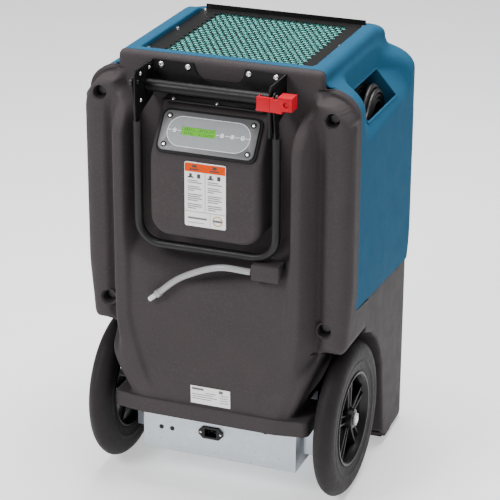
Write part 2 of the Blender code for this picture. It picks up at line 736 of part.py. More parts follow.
def control_panel():
    gasket_top = -PANEL_THICK - GAP
    gasket = plate("panel_gasket", rounded_rectangle(0.190, 0.083, 0.014), gasket_top - GASKET_THICK,
                   gasket_top, 'Z', "black_rubber")
    on_panel(gasket)
    panel = plate("control_panel", rounded_rectangle(*PANEL_SIZE, 0.011), -PANEL_THICK, 0, 'Z',
                  "panel_silver")
    on_panel(panel)
    across, up, wide, high = DISPLAY
    hole = plate("display_hole", rounded_rectangle(wide + 0.0006, high + 0.0006, 0.001, 1,
                                                   (across, up)), -0.01, 0.01, 'Z')
    boolean(panel, on_panel(hole))
    window = plate("display_window", rounded_rectangle(wide, high, 0.001, 1, (across, up)),
                   -0.0025, -0.0004, 'Z', "display_green")
    on_panel(window)
    for name, x in KEYS.items():
        hole = plate(name + "_hole", rounded_rectangle(2 * KEY_R + 0.0008, 2 * KEY_R + 0.0008,
                                                       KEY_R + 0.0004, 3, (x, KEY_ROW)),
                     -0.01, 0.01, 'Z')
        boolean(panel, on_panel(hole))
        key = plate(name, rounded_rectangle(2 * KEY_R, 2 * KEY_R, KEY_R, 3), -0.0022, 0.0008, 'Z',
                    "key_white")
        on_panel(key)
        key.location = key.matrix_world @ Vector((x, KEY_ROW, 0))


# ---------------------------------------------------------------- handle, bracket and latch
def mirrored(side, low, high):
    return (low, high) if side > 0 else (-high, -low)


def handle_bracket():
    """Sheet metal: notched back plate, two ears and a lower flange with the fixing screws."""
    y_back = FLOOR_Y - GAP
    notch = [(-0.047, PLATE_TOP_Z), (-0.0425, 0.8185), (-0.037, 0.810), (-0.028, 0.8045),
             (0.0335, 0.8045), (0.042, 0.808), (0.047, 0.8165), (0.050, PLATE_TOP_Z)]
    outline = [(-0.127, PLATE_LOW_Z), (0.127, PLATE_LOW_Z), (0.127, PLATE_TOP_Z)]
    outline += notch[::-1] + [(-0.127, PLATE_TOP_Z)]
    bracket = plate("handle_bracket", outline, y_back - SHEET, y_back, 'Y', "black_coat")
    flange_z = PLATE_LOW_Z + 0.0002
    boolean(bracket, box("bracket_flange", (-0.095, -0.196, flange_z),
                         (0.095, y_back - 0.001, flange_z + SHEET)), 'UNION')
    ear = [(y_back - 0.001, PLATE_TOP_Z - 0.0005), (y_back - 0.001, PLATE_LOW_Z + 0.0005),
           (EAR_FRONT_Y, 0.7395), (EAR_FRONT_Y, PLATE_TOP_Z - 0.008),
           (EAR_FRONT_Y + 0.006, PLATE_TOP_Z - 0.0005)]
    for side, name in ((-1, "left"), (1, "right")):
        low, high = mirrored(side, EAR_X - SHEET / 2, EAR_X + SHEET / 2)
        boolean(bracket, plate("ear_" + name, ear, low, high, 'X'), 'UNION')
        boolean(bracket, cylinder("pivot_hole_" + name, 0.0044, (side * 0.11, *PIVOT),
                                  (side * 0.14, *PIVOT), sides=12))
    return bracket


def lift_bar():
    """The fixed tube between the ears that the machine is lifted by."""
    half = EAR_X - SHEET / 2 - GAP
    bar = cylinder("lift_bar", LIFT_BAR_R, (-half, *LIFT_BAR), (half, *LIFT_BAR), "black_coat", 20)
    return bar


def hang_on(pivot, obj):
    """Parent an object to an empty without moving it."""
    obj.parent = pivot
    obj.matrix_parent_inverse = Matrix.Translation(-pivot.location)
    return obj


def handle():
    """The folding loop: a bent tube and an arm plate on each end of it, hung on its pivot."""
    pivot = take_mesh("handle_pivot", None, None, (0, *PIVOT))
    corner = [(LEG_X - BEND_R + BEND_R * math.cos(math.radians(15 * step)),
               HANDLE_LOW_Z + BEND_R - BEND_R * math.sin(math.radians(15 * step)))
              for step in range(7)]
    path = [(LEG_X, LEG_TOP_Z)] + corner
    path += [(-x, z) for x, z in reversed(path)]
    hang_on(pivot, tube("handle_loop", [(x, LEG_Y, z) for x, z in path], HANDLE_R, "black_coat"))
    py, pz = PIVOT
    boss = [(py + ARM_BOSS_R * math.cos(math.radians(20 * step)),
             pz + ARM_BOSS_R * math.sin(math.radians(20 * step))) for step in range(10)]
    low = LEG_TOP_Z + GAP
    arm = boss + [(LEG_Y - 0.010, low), (LEG_Y + 0.010, low)]
    for side, name in ((-1, "left"), (1, "right")):
        x0, x1 = mirrored(side, LEG_X - SHEET / 2, LEG_X + SHEET / 2)
        piece = hang_on(pivot, plate("handle_arm_" + name, arm, x0, x1, 'X', "black_coat"))
        boolean(piece, cylinder("arm_hole_" + name, 0.0044, (side * 0.11, *PIVOT),
                                (side * 0.14, *PIVOT), sides=12))
        head = LEG_X + SHEET / 2 + GAP
        bolt = cylinder("handle_pivot_bolt_" + name, 0.0075, (side * head, *PIVOT),
                        (side * (head + 0.0045), *PIVOT), "steel", 12)
        shank = cylinder("pivot_shank_" + name, 0.0039, (side * (EAR_X - 0.004), *PIVOT),
                         (side * (head + 0.002), *PIVOT), sides=12)
        boolean(bolt, shank, 'UNION')


def latch():
    """Red slide on the right handle arm, and the red keeper on the ear that it meets."""
    low, high = LATCH_Z
    front = -REAR_Y
    keeper = box("latch_keeper", (0.104, front, low), (0.1282, EAR_FRONT_Y - GAP, high - 0.003),
                 "latch_red")
    boolean(keeper, box("keeper_tab", (0.104, front + 0.0005, low + 0.0005),
                        (0.107, EAR_FRONT_Y + 0.012, high - 0.0035)), 'UNION')
    bar_front = EAR_FRONT_Y - GAP
    slide = box("latch", (0.1285, front, low), (0.162, bar_front, high - 0.003), "latch_red")
    boolean(slide, box("latch_grip", (0.1395, front + 0.0004, low - 0.001),
                       (0.172, -0.226, high)), 'UNION')
    return slide


# ---------------------------------------------------------------- base, axle and wheels
def base_box():
    """Zinc plated base pan: a folded box that is open at the top."""
    low = (-BASE_HALF, BASE_FRONT_Y, BASE_LOW_Z)
    pan = box("base_box", low, (BASE_HALF, BASE_REAR_Y, BASE_TOP_Z), "zinc")
    boolean(pan, box("base_inside", [value + BASE_SHEET for value in low],
                     (BASE_HALF - BASE_SHEET, BASE_REAR_Y - BASE_SHEET, 0.3)))
    x, z = POWER_INLET
    boolean(pan, box("inlet_cut", (x - 0.0145, -0.2, z - 0.0105), (x + 0.0145, -0.16, z + 0.0105)))
    return pan


def power_inlet():
    """Three pin inlet: flange with two ears, shroud and socket well."""
    half, high = 0.0245, 0.0125
    flange = [(-half, 0.004), (-0.016, high), (0.016, high), (half, 0.004), (half, -0.004),
              (0.016, -high), (-0.016, -high), (-half, -0.004)]
    cx, cz = POWER_INLET
    front = BASE_FRONT_Y - GAP
    inlet = plate("power_inlet", [(cx + x, cz + z) for x, z in flange], front - 0.003, front, 'Y',
                  "black_plastic")
    boolean(inlet, box("inlet_body", (cx - 0.0138, front - 0.001, cz - 0.0098),
                       (cx + 0.0138, front + 0.022, cz + 0.0098)), 'UNION')
    boolean(inlet, box("inlet_well_cut", (cx - 0.0118, -0.2, cz - 0.0078),
                       (cx + 0.0118, front + 0.016, cz + 0.0078)))
    for x, z in ((cx - 0.007, cz - 0.001), (cx, cz + 0.0025), (cx + 0.007, cz - 0.001)):
        boolean(inlet, box("inlet_pin", (x - 0.001, front + 0.003, z - 0.002),
                           (x + 0.001, front + 0.017, z + 0.002)), 'UNION')


def axle_and_brackets():
    cylinder("axle", AXLE_R, (-AXLE_HALF, WHEEL_Y, WHEEL_R), (AXLE_HALF, WHEEL_Y, WHEEL_R),
             "steel", 20)
    for side, name in ((-1, "left"), (1, "right")):
        near = BASE_HALF + GAP
        x0, x1 = mirrored(side, near, near + 0.003)
        bracket = box("axle_bracket_" + name, (x0, -0.125, 0.075), (x1, -0.058, 0.178), "zinc")
        f0, f1 = mirrored(side, near, 0.186)
        boolean(bracket, box("bracket_face_" + name, (f0, -0.1245, 0.0755), (f1, -0.1215, 0.1445)),
                'UNION')
        boolean(bracket, cylinder("axle_hole_" + name, AXLE_R + 0.0005, (x0 - 0.01, WHEEL_Y, WHEEL_R),
                                  (x1 + 0.01, WHEEL_Y, WHEEL_R), sides=20))


def wheel(side, name):
    half = TYRE_WIDTH / 2
    centre = (side * WHEEL_X, WHEEL_Y, WHEEL_R)
    section = [(RIM_R + GAP, 0.015)]
    section += [(0.122 + (WHEEL_R - 0.122) * math.sin(math.radians(angle)),
                 half * math.cos(math.radians(angle)) ** 0.8) for angle in (0, 25, 48, 68, 86)]
    section += [(radius, -along) for radius, along in reversed(section)]
    turned("tyre_" + name, section, centre, "tyre_rubber", 36)
    rim = [(0.0085, 0.0175), (0.018, 0.0175), (0.020, 0.006), (0.072, 0.006), (0.078, 0.016),
           (RIM_R, 0.016)]
    rim += [(radius, -along) for radius, along in reversed(rim)]
    disc = turned("rim_" + name, rim, centre, "black_plastic", 36)
    for spoke in range(5):
        middle = math.radians(72 * spoke + 90)
        window = [(0.030, -0.42), (0.070, -0.50), (0.070, 0.0), (0.070, 0.50), (0.030, 0.42)]
        outline = [(WHEEL_Y + r * math.cos(middle + turn), WHEEL_R + r * math.sin(middle + turn))
                   for r, turn in window]
        x0, x1 = mirrored(side, WHEEL_X - 0.03, WHEEL_X + 0.03)
        boolean(disc, plate(f"window_{name}_{spoke}", outline, x0, x1, 'X'))
    nut = [(0.0100, 0.0022), (0.0135, 0.0022)]
    nut += [(radius, -along) for radius, along in reversed(nut)]
    turned("axle_nut_" + name, nut, (side * 0.2440, WHEEL_Y, WHEEL_R), "steel", 6)


# ---------------------------------------------------------------- inlet, filter and exhaust
def inlet_grille():
    """Black sheet over the air inlet, with slots and a lip turned up at the rear."""
    top = GRILLE_Z
    edge = WELL_HALF - 0.0015
    sheet = box("inlet_grille", (-edge, WELL_FRONT_Y + 0.0015, top - GRILLE_THICK),
                (edge, WELL_REAR_Y - 0.0015, top), "black_coat")
    boolean(sheet, box("grille_lip", (-edge + 0.0005, WELL_REAR_Y - 0.0050, top - 0.001),
                       (edge - 0.0005, WELL_REAR_Y - 0.0020, TOP_Z)), 'UNION')
    slots = box("grille_slots", (-0.125, -0.108, top - 0.01), (0.135, -0.098, top + 0.01))
    array = slots.modifiers.new("row of slots", 'ARRAY')
    array.use_relative_offset = False
    array.use_constant_offset = True
    array.constant_offset_displace = (0, 0.0215, 0)
    array.count = 12
    boolean(sheet, slots)


def air_filter():
    box("air_filter", (-0.1485, -0.1105, 0.806), (0.1485, 0.1615, GRILLE_Z - GRILLE_THICK - GAP),
        "filter_teal")


def exhaust_grille():
    """Round outlet in the rear face, with six bars across it."""
    rear = REAR_Y - 0.0005
    ring = [(EXHAUST_R - 0.012, 0.006), (EXHAUST_R - GAP, 0.006)]
    ring += [(radius, -along) for radius, along in reversed(ring)]
    grille = turned("exhaust_grille", ring, (0, rear - 0.007, EXHAUST_Z), "black_plastic", 32, 'Y')
    for bar in range(6):
        z = EXHAUST_Z + (bar - 2.5) * 0.034
        half = math.sqrt((EXHAUST_R - 0.004) ** 2 - (z - EXHAUST_Z) ** 2)
        boolean(grille, box(f"exhaust_bar_{bar}", (-half, rear - 0.0098, z - 0.002),
                            (half, rear - 0.0042, z + 0.002)), 'UNION')


# ---------------------------------------------------------------- inside the machine
def fan():
    shroud = [(0.106, 0.028), (0.112, 0.028)]
    shroud += [(radius, -along) for radius, along in reversed(shroud)]
    turned("fan_shroud", shroud, (0, FAN_Y, EXHAUST_Z), "black_plastic", 24, 'Y')
    hub = cylinder("fan_rotor", 0.030, (0, FAN_Y - 0.015, EXHAUST_Z), (0, FAN_Y + 0.015, EXHAUST_Z),
                   "black_plastic", 16)
    for blade in range(5):
        piece = box(f"fan_blade_{blade}", (0.025, -0.001, -0.020), (0.100, 0.001, 0.020))
        turn = Matrix.Rotation(math.radians(72 * blade), 4, 'Y')
        pitch = Matrix.Rotation(math.radians(55), 4, 'X')
        piece.matrix_world = Matrix.Translation((0, FAN_Y, EXHAUST_Z)) @ turn @ Matrix.Translation(
            (0.0625, 0, 0)) @ pitch
        boolean(hub, piece, 'UNION')
    cylinder("fan_motor", 0.038, (0, 0.120, EXHAUST_Z), (0, FAN_Y - 0.0175, EXHAUST_Z), "black_coat", 20)


def refrigeration():
    box("evaporator_coil", (-0.140, -0.085, 0.475), (0.140, -0.035, 0.775), "aluminium")
    box("condenser_coil", (-0.140, 0.000, 0.475), (0.140, 0.060, 0.775), "aluminium")
    box("drain_pan", (-0.143, -0.095, 0.445), (0.143, 0.068, 0.4745), "black_plastic")
    can = [(0, 0.205), (0.045, 0.205), (0.066, 0.185), (0.072, 0.160), (0.072, 0.020),
           (0.064, 0.0), (0, 0)]
    turned("compressor", can, (0.070, 0.110, BASE_LOW_Z + 0.0019), "black_coat", 24, 'Z')
    box("condensate_pump", (-0.130, 0.080, BASE_LOW_Z + 0.0019), (-0.040, 0.190, 0.135),
        "black_plastic", 0.004)
    box("control_board", (-0.080, FLOOR_Y - 0.020, 0.560), (0.080, FLOOR_Y - 0.006, 0.680),
        "board_green")


# ---------------------------------------------------------------- hose and cord
def drain_hose():
    """Short clear hose from its port over the apron, ending in a barbed fitting."""
    port = [(-0.2400, 0.466), (-0.2400, 0.497), (-0.1990, 0.497), (-0.2290, 0.466)]
    plate("hose_port", port, 0.0890, 0.1425, 'X', "moulded_grey")
    tube("drain_hose", smooth_route(HOSE_ROUTE, 18), HOSE_R, "hose_clear")
    end, before = Vector(HOSE_ROUTE[-1]), Vector(smooth_route(HOSE_ROUTE, 18)[-2])
    along = (end - before).normalized()
    cylinder("hose_fitting", 0.0050, end + along * GAP, end + along * 0.018, "key_white", 12)


def racetrack(half, straight, steps=8):
    """Outline of an upright oval with round ends, about the coil's centre."""
    outline = []
    for end in (1, -1):
        for step in range(steps + 1):
            angle = math.radians(180) * step / steps
            outline.append((COIL_CENTRE[0] + end * half * math.cos(angle),
                            COIL_CENTRE[1] + end * (straight / 2 + half * math.sin(angle))))
    return outline


def cord():
    """The mains lead, unplugged and wound into the pocket: 15 turns, three deep, five across."""
    coil = plate("cord_coil", racetrack(COIL_HALF, COIL_STRAIGHT), *COIL_X, 'X', "black_rubber")
    boolean(coil, plate("coil_eye", racetrack(COIL_HALF - COIL_DEEP, COIL_STRAIGHT), 0.1, 0.3, 'X'))
    y, z = COIL_CENTRE
    box("cord_plug", (0.170, y - 0.040, z - 0.045), (0.196, y - 0.012, z + 0.005),
        "black_rubber", 0.004)
    box("cord_connector", (0.172, y + 0.012, z - 0.040), (0.192, y + 0.040, z + 0.008),
        "black_rubber", 0.003)


# ---------------------------------------------------------------- fasteners
def fasteners():
    for x, z in RECESS_HOLES:
        for side, name in ((-1, "left"), (1, "right")):
            level = "upper" if z > 0.5 else "lower"
            seat = front_y(x, z) + 0.001 + RECESS_DEPTH + 0.005 - WALL - GAP
            cylinder(f"corner_bolt_{level}_{name}", 0.008, (side * x, seat - 0.006, z),
                     (side * x, seat, z), "steel", 6)
    for number, x in enumerate((-0.1085, -0.0574, 0.0574, 0.1085), 1):
        seat = FLOOR_Y - 2 * GAP - SHEET
        cylinder(f"bracket_screw_{number}", 0.0060, (x, seat, BRACKET_SCREW_Z),
                 (x, seat - 0.0025, BRACKET_SCREW_Z), "steel", 12, tip=0.0040)


# ---------------------------------------------------------------- build
front_housing()
upper_rear_housing()
lower_rear_housing()
foot_pads()
control_pod()
control_panel()
handle_bracket()
lift_bar()
handle()
latch()
base_box()
power_inlet()
axle_and_brackets()
wheel(-1, "left")
wheel(1, "right")
inlet_grille()
air_filter()
exhaust_grille()
fan()
refrigeration()
drain_hose()
cord()
fasteners()
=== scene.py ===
"""Looks of a commercial dehumidifier on two wheels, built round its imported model.

Frame: metres, +Z up, the front with the control panel faces -Y, X across the machine.
"""
import json
import math
import random

import bmesh
import bpy
import numpy as np
from mathutils import Matrix, Vector


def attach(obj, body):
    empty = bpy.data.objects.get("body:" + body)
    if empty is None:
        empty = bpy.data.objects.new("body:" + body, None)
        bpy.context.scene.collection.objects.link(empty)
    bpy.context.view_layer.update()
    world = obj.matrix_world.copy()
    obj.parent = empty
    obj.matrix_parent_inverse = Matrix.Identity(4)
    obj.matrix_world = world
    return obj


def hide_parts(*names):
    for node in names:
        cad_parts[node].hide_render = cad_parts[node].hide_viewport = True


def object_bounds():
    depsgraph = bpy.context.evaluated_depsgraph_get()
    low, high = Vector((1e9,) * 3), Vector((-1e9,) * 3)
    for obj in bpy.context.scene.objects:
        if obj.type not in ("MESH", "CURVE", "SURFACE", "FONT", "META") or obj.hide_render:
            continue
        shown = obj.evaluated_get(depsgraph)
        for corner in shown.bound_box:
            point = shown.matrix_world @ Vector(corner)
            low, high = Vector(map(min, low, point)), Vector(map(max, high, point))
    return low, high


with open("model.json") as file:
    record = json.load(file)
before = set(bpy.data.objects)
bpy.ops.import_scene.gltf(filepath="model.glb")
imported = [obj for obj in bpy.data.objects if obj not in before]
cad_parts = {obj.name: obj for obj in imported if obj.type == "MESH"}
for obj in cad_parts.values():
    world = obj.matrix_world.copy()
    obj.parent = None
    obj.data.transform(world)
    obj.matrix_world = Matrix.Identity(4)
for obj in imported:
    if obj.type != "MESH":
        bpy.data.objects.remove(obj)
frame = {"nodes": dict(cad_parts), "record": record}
cad_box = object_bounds()

# ---------------------------------------------------------------- driving dimensions
HALF_WIDTH, REAR_Y, TOP_Z = Vector(cad_box[1])
WALL = 0.004
PROUD = 0.0003                # how far stickers and prints stand off what they lie on

COLUMN_Y = -0.192             # front plane of the two corner columns
FLOOR_Y = -0.165              # front plane of the neck and of the recess round the pod
RIDGE_RISE = 0.067            # how far the ridges, the apron and the groove stand out of it
APRON_RISE = 0.060
GROOVE_RISE = 0.015
NECK_HALF = 0.194
NECK_R = 0.011                # rounding along the neck's top edges
SHOULDER_Z = 0.8065            # where the shoulders meet the neck
SHOULDER_LOW_Z = 0.7575        # and where they start to round over
COLUMN_LOW_Z = 0.315
SHELF_TOP_Z = 0.190
SHELF_LOW_Z = 0.160
SHELF_HALF = 0.192
SHELF_RISE = 0.062
SIDE_SEAM_Y = -0.140          # seams between the front and the rear mouldings, by height
NECK_SEAM_Y = -0.152
LOW_SEAM_Y = -0.055
SHELF_SEAM_Y = -0.120
SEAM = 0.0012                 # visible gap between the mouldings
BLUE_LOW_FRONT_Z = 0.391
BLUE_LOW_REAR_Z = 0.351
REAR_HALF = 0.244             # half width of the blue housing at the rear

WHEEL_CENTRE = Vector((0.224, -0.091, 0.149))
PANEL_TILT = math.radians(36.2)
PANEL_CENTRE = Vector((0, -0.2138, 0.7195))
POCKET_Y = (-0.052, 0.115)
POCKET_LOW_Z = 0.559
MOUTH_LOW = Vector((0.2395, 0.7215))      # x and z of the pocket mouth's outer edge
MOUTH_HIGH = Vector((0.200, 0.767))       # and of its inner edge


# ---------------------------------------------------------------- helpers
def smooth(t):
    t = min(max(t, 0.0), 1.0)
    return t * t * (3 - 2 * t)


def mix(a, b, t):
    return a + (b - a) * t


def add(name, mesh, material, body="machine", stands_for=None):
    """Put a mesh in the scene as a piece that rides on a body and fills its material's slot."""
    piece = bpy.data.objects.new(name, mesh)
    bpy.context.scene.collection.objects.link(piece)
    mesh.name = name
    mesh.materials.clear()
    piece.data.materials.append(material)
    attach(piece, body)
    if stands_for:
        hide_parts(stands_for)
    return piece


def mesh_of(points, faces):
    mesh = bpy.data.meshes.new("mesh")
    mesh.from_pydata(points, [], faces)
    mesh.update()
    return mesh


def outward(mesh):
    """Turn the faces of a closed mesh to the outside."""
    bm = bmesh.new()
    bm.from_mesh(mesh)
    bmesh.ops.recalc_face_normals(bm, faces=bm.faces)
    bm.to_mesh(mesh)
    bm.free()
    return mesh


def ring_faces(rows, across):
    """Faces between neighbouring closed loops that have the same count of points."""
    faces = []
    for r in range(rows - 1):
        for c in range(across):
            a, b = r * across + c, r * across + (c + 1) % across
            faces.append((a, b, b + across, a + across))
    return faces


def shade(piece, angle=35):
    piece.data.shade_smooth()
    piece.data.set_sharp_from_angle(angle=math.radians(angle))
    return piece


def bevel(piece, width, segments=3, angle=30):
    modifier = piece.modifiers.new("rounded edges", 'BEVEL')
    modifier.width = width
    modifier.segments = segments
    modifier.limit_method = 'ANGLE'
    modifier.angle_limit = math.radians(angle)
    modifier.harden_normals = False
    return piece


def settle(piece):
    """Apply the piece's modifiers, so that what was cut stays cut."""
    evaluated = piece.evaluated_get(bpy.context.evaluated_depsgraph_get())
    mesh = bpy.data.meshes.new_from_object(evaluated)
    piece.modifiers.clear()
    piece.data = mesh
    return piece


def cut(target, outline_piece, operation='DIFFERENCE'):
    """Boolean with a helper mesh that is thrown away afterwards."""
    modifier = target.modifiers.new("cut", 'BOOLEAN')
    modifier.operation = operation
    modifier.solver = 'EXACT'
    modifier.object = outline_piece
    settle(target)
    bpy.data.objects.remove(outline_piece, do_unlink=True)
    return target


def helper(mesh):
    piece = bpy.data.objects.new("helper", mesh)
    bpy.context.scene.collection.objects.link(piece)
    return piece


def slab(outline, low, high, plane):
    """Mesh of a flat outline made solid between two values of the axis it faces."""
    place = {'X': lambda a, b, c: (c, a, b), 'Y': lambda a, b, c: (a, c, b),
             'Z': lambda a, b, c: (a, b, c)}[plane]
    count = len(outline)
    points = [place(a, b, c) for c in (low, high) for a, b in outline]
    faces = [tuple(range(count)), tuple(range(2 * count - 1, count - 1, -1))]
    return outward(mesh_of(points, faces + ring_faces(2, count)))


def block(low, high):
    corners = [(low[0], low[1]), (high[0], low[1]), (high[0], high[1]), (low[0], high[1])]
    return slab(corners, low[2], high[2], 'Z')


def rounded(width, height, radius, steps=6, centre=(0, 0)):
    """Outline of a rounded rectangle, counter-clockwise."""
    outline = []
    for quarter in range(4):
        sx = 1 if quarter in (0, 3) else -1
        sz = 1 if quarter in (0, 1) else -1
        for step in range(steps + 1):
            angle = math.radians(90) * (quarter + step / steps)
            outline.append((centre[0] + sx * (width / 2 - radius) + radius * math.cos(angle),
                            centre[1] + sz * (height / 2 - radius) + radius * math.sin(angle)))
    return outline


def rounded_polygon(points, radii, steps=6):
    """A polygon whose corners are rounded by arcs of their own radius."""
    outline = []
    count = len(points)
    for i in range(count):
        before, here, after = (Vector(points[k % count]) for k in (i - 1, i, i + 1))
        radius = radii[i] if isinstance(radii, (list, tuple)) else radii
        a, b = (before - here).normalized(), (after - here).normalized()
        half = a.angle(b) / 2
        if radius <= 0 or half > math.radians(89):
            outline.append(tuple(here))
            continue
        reach = radius / math.tan(half)
        centre = here + (a + b).normalized() * (radius / math.sin(half))
        start, end = here + a * reach - centre, here + b * reach - centre
        turn = start.angle_signed(end)
        for step in range(steps + 1):
            spin = Matrix.Rotation(-turn * step / steps, 2)
            outline.append(tuple(centre + spin @ start))
    return outline


def lathe(profile, origin, axis, steps=48, turn=0.0):
    """Mesh of (radius, along) pairs turned about an axis; a zero radius closes on a point."""
    axis = Vector(axis).normalized()
    across = axis.orthogonal().normalized()
    other = axis.cross(across)
    points, rings = [], []
    for radius, along in profile:
        centre = Vector(origin) + axis * along
        if radius == 0:
            rings.append([len(points)])
            points.append(tuple(centre))
            continue
        ring = []
        for step in range(steps):
            angle = turn + 2 * math.pi * step / steps
            ring.append(len(points))
            points.append(tuple(centre + across * radius * math.cos(angle)
                                + other * radius * math.sin(angle)))
        rings.append(ring)
    pairs = list(zip(rings, rings[1:]))
    if profile[0][0] > 0 and profile[-1][0] > 0:
        pairs.append((rings[-1], rings[0]))
    faces = []
    for a, b in pairs:
        for i in range(steps):
            j = (i + 1) % steps
            if len(a) == 1:
                faces.append((a[0], b[i], b[j]))
            elif len(b) == 1:
                faces.append((a[i], b[0], a[j]))
            else:
                faces.append((a[i], b[i], b[j], a[j]))
    return outward(mesh_of(points, faces))


def spaced(knots, shares):
    """Points at given shares of the way along a run of straight pieces."""
    lengths = [0.0]
    for a, b in zip(knots, knots[1:]):
        lengths.append(lengths[-1] + (b - a).length)
    out, k = [], 0
    for share in shares:
        goal = lengths[-1] * share
        while k < len(knots) - 2 and lengths[k + 1] < goal:
            k += 1
        out.append(knots[k].lerp(knots[k + 1], (goal - lengths[k]) / (lengths[k + 1] - lengths[k])))
    return out


def catmull(points, count):
    """Evenly spaced points on a smooth curve through the given ones."""
    knots = [Vector(p) for p in points]
    knots = [2 * knots[0] - knots[1]] + knots + [2 * knots[-1] - knots[-2]]
    fine = []
    for i in range(1, len(knots) - 2):
        a, b, c, d = knots[i - 1:i + 3]
        for step in range(24):
            t = step / 24
            fine.append(0.5 * (2 * b + (c - a) * t + (2 * a - 5 * b + 4 * c - d) * t ** 2
                               + (3 * b - a - 3 * c + d) * t ** 3))
    fine.append(knots[-2])
    return spaced(fine, [i / (count - 1) for i in range(count)])


def tube(name, points, radius, material, body="machine", stands_for=None, sides=4):
    curve = bpy.data.curves.new(name, 'CURVE')
    curve.dimensions = '3D'
    curve.bevel_depth = radius
    curve.bevel_resolution = sides
    curve.use_fill_caps = True
    spline = curve.splines.new('POLY')
    spline.points.add(len(points) - 1)
    for point, place in zip(spline.points, points):
        point.co = (*place, 1)
    spline.use_smooth = True
    return add(name, curve, material, body, stands_for)


# ---------------------------------------------------------------- materials
def nodes_of(name):
    material = bpy.data.materials.new(name)
    material.use_nodes = True
    return material, material.node_tree, material.node_tree.nodes["Principled BSDF"]


def bumped(tree, source, shader, height):
    """Relief of a given height from a texture."""
    bump = tree.nodes.new("ShaderNodeBump")
    bump.inputs["Strength"].default_value = 1.0
    bump.inputs["Distance"].default_value = height
    tree.links.new(source, bump.inputs["Height"])
    tree.links.new(bump.outputs["Normal"], shader.inputs["Normal"])


def ramped(tree, source, shader, dark, light):
    """Base colour that runs from dark to light with a texture."""
    tone = tree.nodes.new("ShaderNodeValToRGB")
    for element, colour in zip(tone.color_ramp.elements, (dark, light)):
        element.color = (*colour, 1)
    tree.links.new(source, tone.inputs["Fac"])
    tree.links.new(tone.outputs["Color"], shader.inputs["Base Color"])


def surface(name, colour, roughness, metallic=0.0, grain=0.0, grain_size=0.001, mottle=0.06,
            mottle_size=0.03, rough_change=0.06, speckle=0.0, **sockets):
    """A moulded, painted or metal surface: mottled colour, uneven gloss and a fine grain."""
    material, tree, shader = nodes_of(name)
    shader.inputs["Metallic"].default_value = metallic
    for socket, value in sockets.items():
        shader.inputs[socket.replace("_", " ")].default_value = value
    place = tree.nodes.new("ShaderNodeTexCoord")

    def noise(size, detail):
        node = tree.nodes.new("ShaderNodeTexNoise")
        node.inputs["Scale"].default_value = 1 / size
        node.inputs["Detail"].default_value = detail
        tree.links.new(place.outputs["Object"], node.inputs["Vector"])
        return node.outputs["Fac"]

    def ranged(source, low, high):
        node = tree.nodes.new("ShaderNodeMapRange")
        node.inputs["From Min"].default_value = 0.3
        node.inputs["From Max"].default_value = 0.7
        node.inputs["To Min"].default_value = low
        node.inputs["To Max"].default_value = high
        tree.links.new(source, node.inputs["Value"])
        return node.outputs["Result"]

    def blend(fac, dark, light):
        node = tree.nodes.new("ShaderNodeMix")
        node.data_type = 'RGBA'
        tree.links.new(fac, node.inputs["Factor"])
        for socket, value in (("A", dark), ("B", light)):
            target = [s for s in node.inputs if s.name == socket and s.type == 'RGBA'][0]
            if isinstance(value, tuple):
                target.default_value = (*value, 1)
            else:
                tree.links.new(value, target)
        return [s for s in node.outputs if s.type == 'RGBA'][0]

    dark = tuple(c * (1 - mottle) for c in colour)
    light = tuple(min(1, c * (1 + mottle)) for c in colour)
    tone = blend(ranged(noise(mottle_size, 4), 0, 1), dark, light)
    if speckle:
        fine = ranged(noise(grain_size * 1.6, 1), 0, 1)
        bright = tuple(min(1, c * (1 + speckle) + 0.01 * speckle) for c in colour)
        stepped = tree.nodes.new("ShaderNodeMath")
        stepped.operation = 'POWER'
        stepped.inputs[1].default_value = 3.0
        tree.links.new(fine, stepped.inputs[0])
        tone = blend(stepped.outputs[0], tone, bright)
    tree.links.new(tone, shader.inputs["Base Color"])
    gloss = ranged(noise(mottle_size * 0.6, 5), roughness - rough_change, roughness + rough_change)
    tree.links.new(gloss, shader.inputs["Roughness"])
    if grain:
        bumped(tree, noise(grain_size, 3), shader, grain)
    return material


def braided(name, colour):
    """Clear hose with a fine crossed braid under its skin."""
    material, tree, shader = nodes_of(name)
    shader.inputs["Roughness"].default_value = 0.28
    shader.inputs["Coat Weight"].default_value = 0.5
    shader.inputs["Coat Roughness"].default_value = 0.12
    shader.inputs["Subsurface Weight"].default_value = 0.25
    shader.inputs["Subsurface Scale"].default_value = 0.004
    place = tree.nodes.new("ShaderNodeTexCoord")
    waves = []
    for turn in (35, -35):
        spin = tree.nodes.new("ShaderNodeMapping")
        spin.inputs["Rotation"].default_value = (0, math.radians(turn), 0)
        wave = tree.nodes.new("ShaderNodeTexWave")
        wave.inputs["Scale"].default_value = 160
        tree.links.new(place.outputs["Object"], spin.inputs["Vector"])
        tree.links.new(spin.outputs["Vector"], wave.inputs["Vector"])
        waves.append(wave.outputs["Fac"])
    both = tree.nodes.new("ShaderNodeMath")
    both.operation = 'MULTIPLY'
    tree.links.new(waves[0], both.inputs[0])
    tree.links.new(waves[1], both.inputs[1])
    ramped(tree, both.outputs[0], shader, [c * 0.72 for c in colour], [c * 1.15 for c in colour])
    bumped(tree, both.outputs[0], shader, 0.0002)
    return material


def finned(name, colour, pitch):
    """Thin aluminium fins across a coil block, with painted shade in the gaps between them."""
    material, tree, shader = nodes_of(name)
    shader.inputs["Metallic"].default_value = 0.9
    shader.inputs["Roughness"].default_value = 0.4
    place = tree.nodes.new("ShaderNodeTexCoord")
    wave = tree.nodes.new("ShaderNodeTexWave")
    wave.inputs["Scale"].default_value = 0.314 / pitch
    tree.links.new(place.outputs["Object"], wave.inputs["Vector"])
    # the dark end of the ramp is painted shade: the gaps between the fins drawn dark, the bright end
    # the aluminium itself
    ramped(tree, wave.outputs["Fac"], shader, [c * 0.2 for c in colour], colour)
    return material


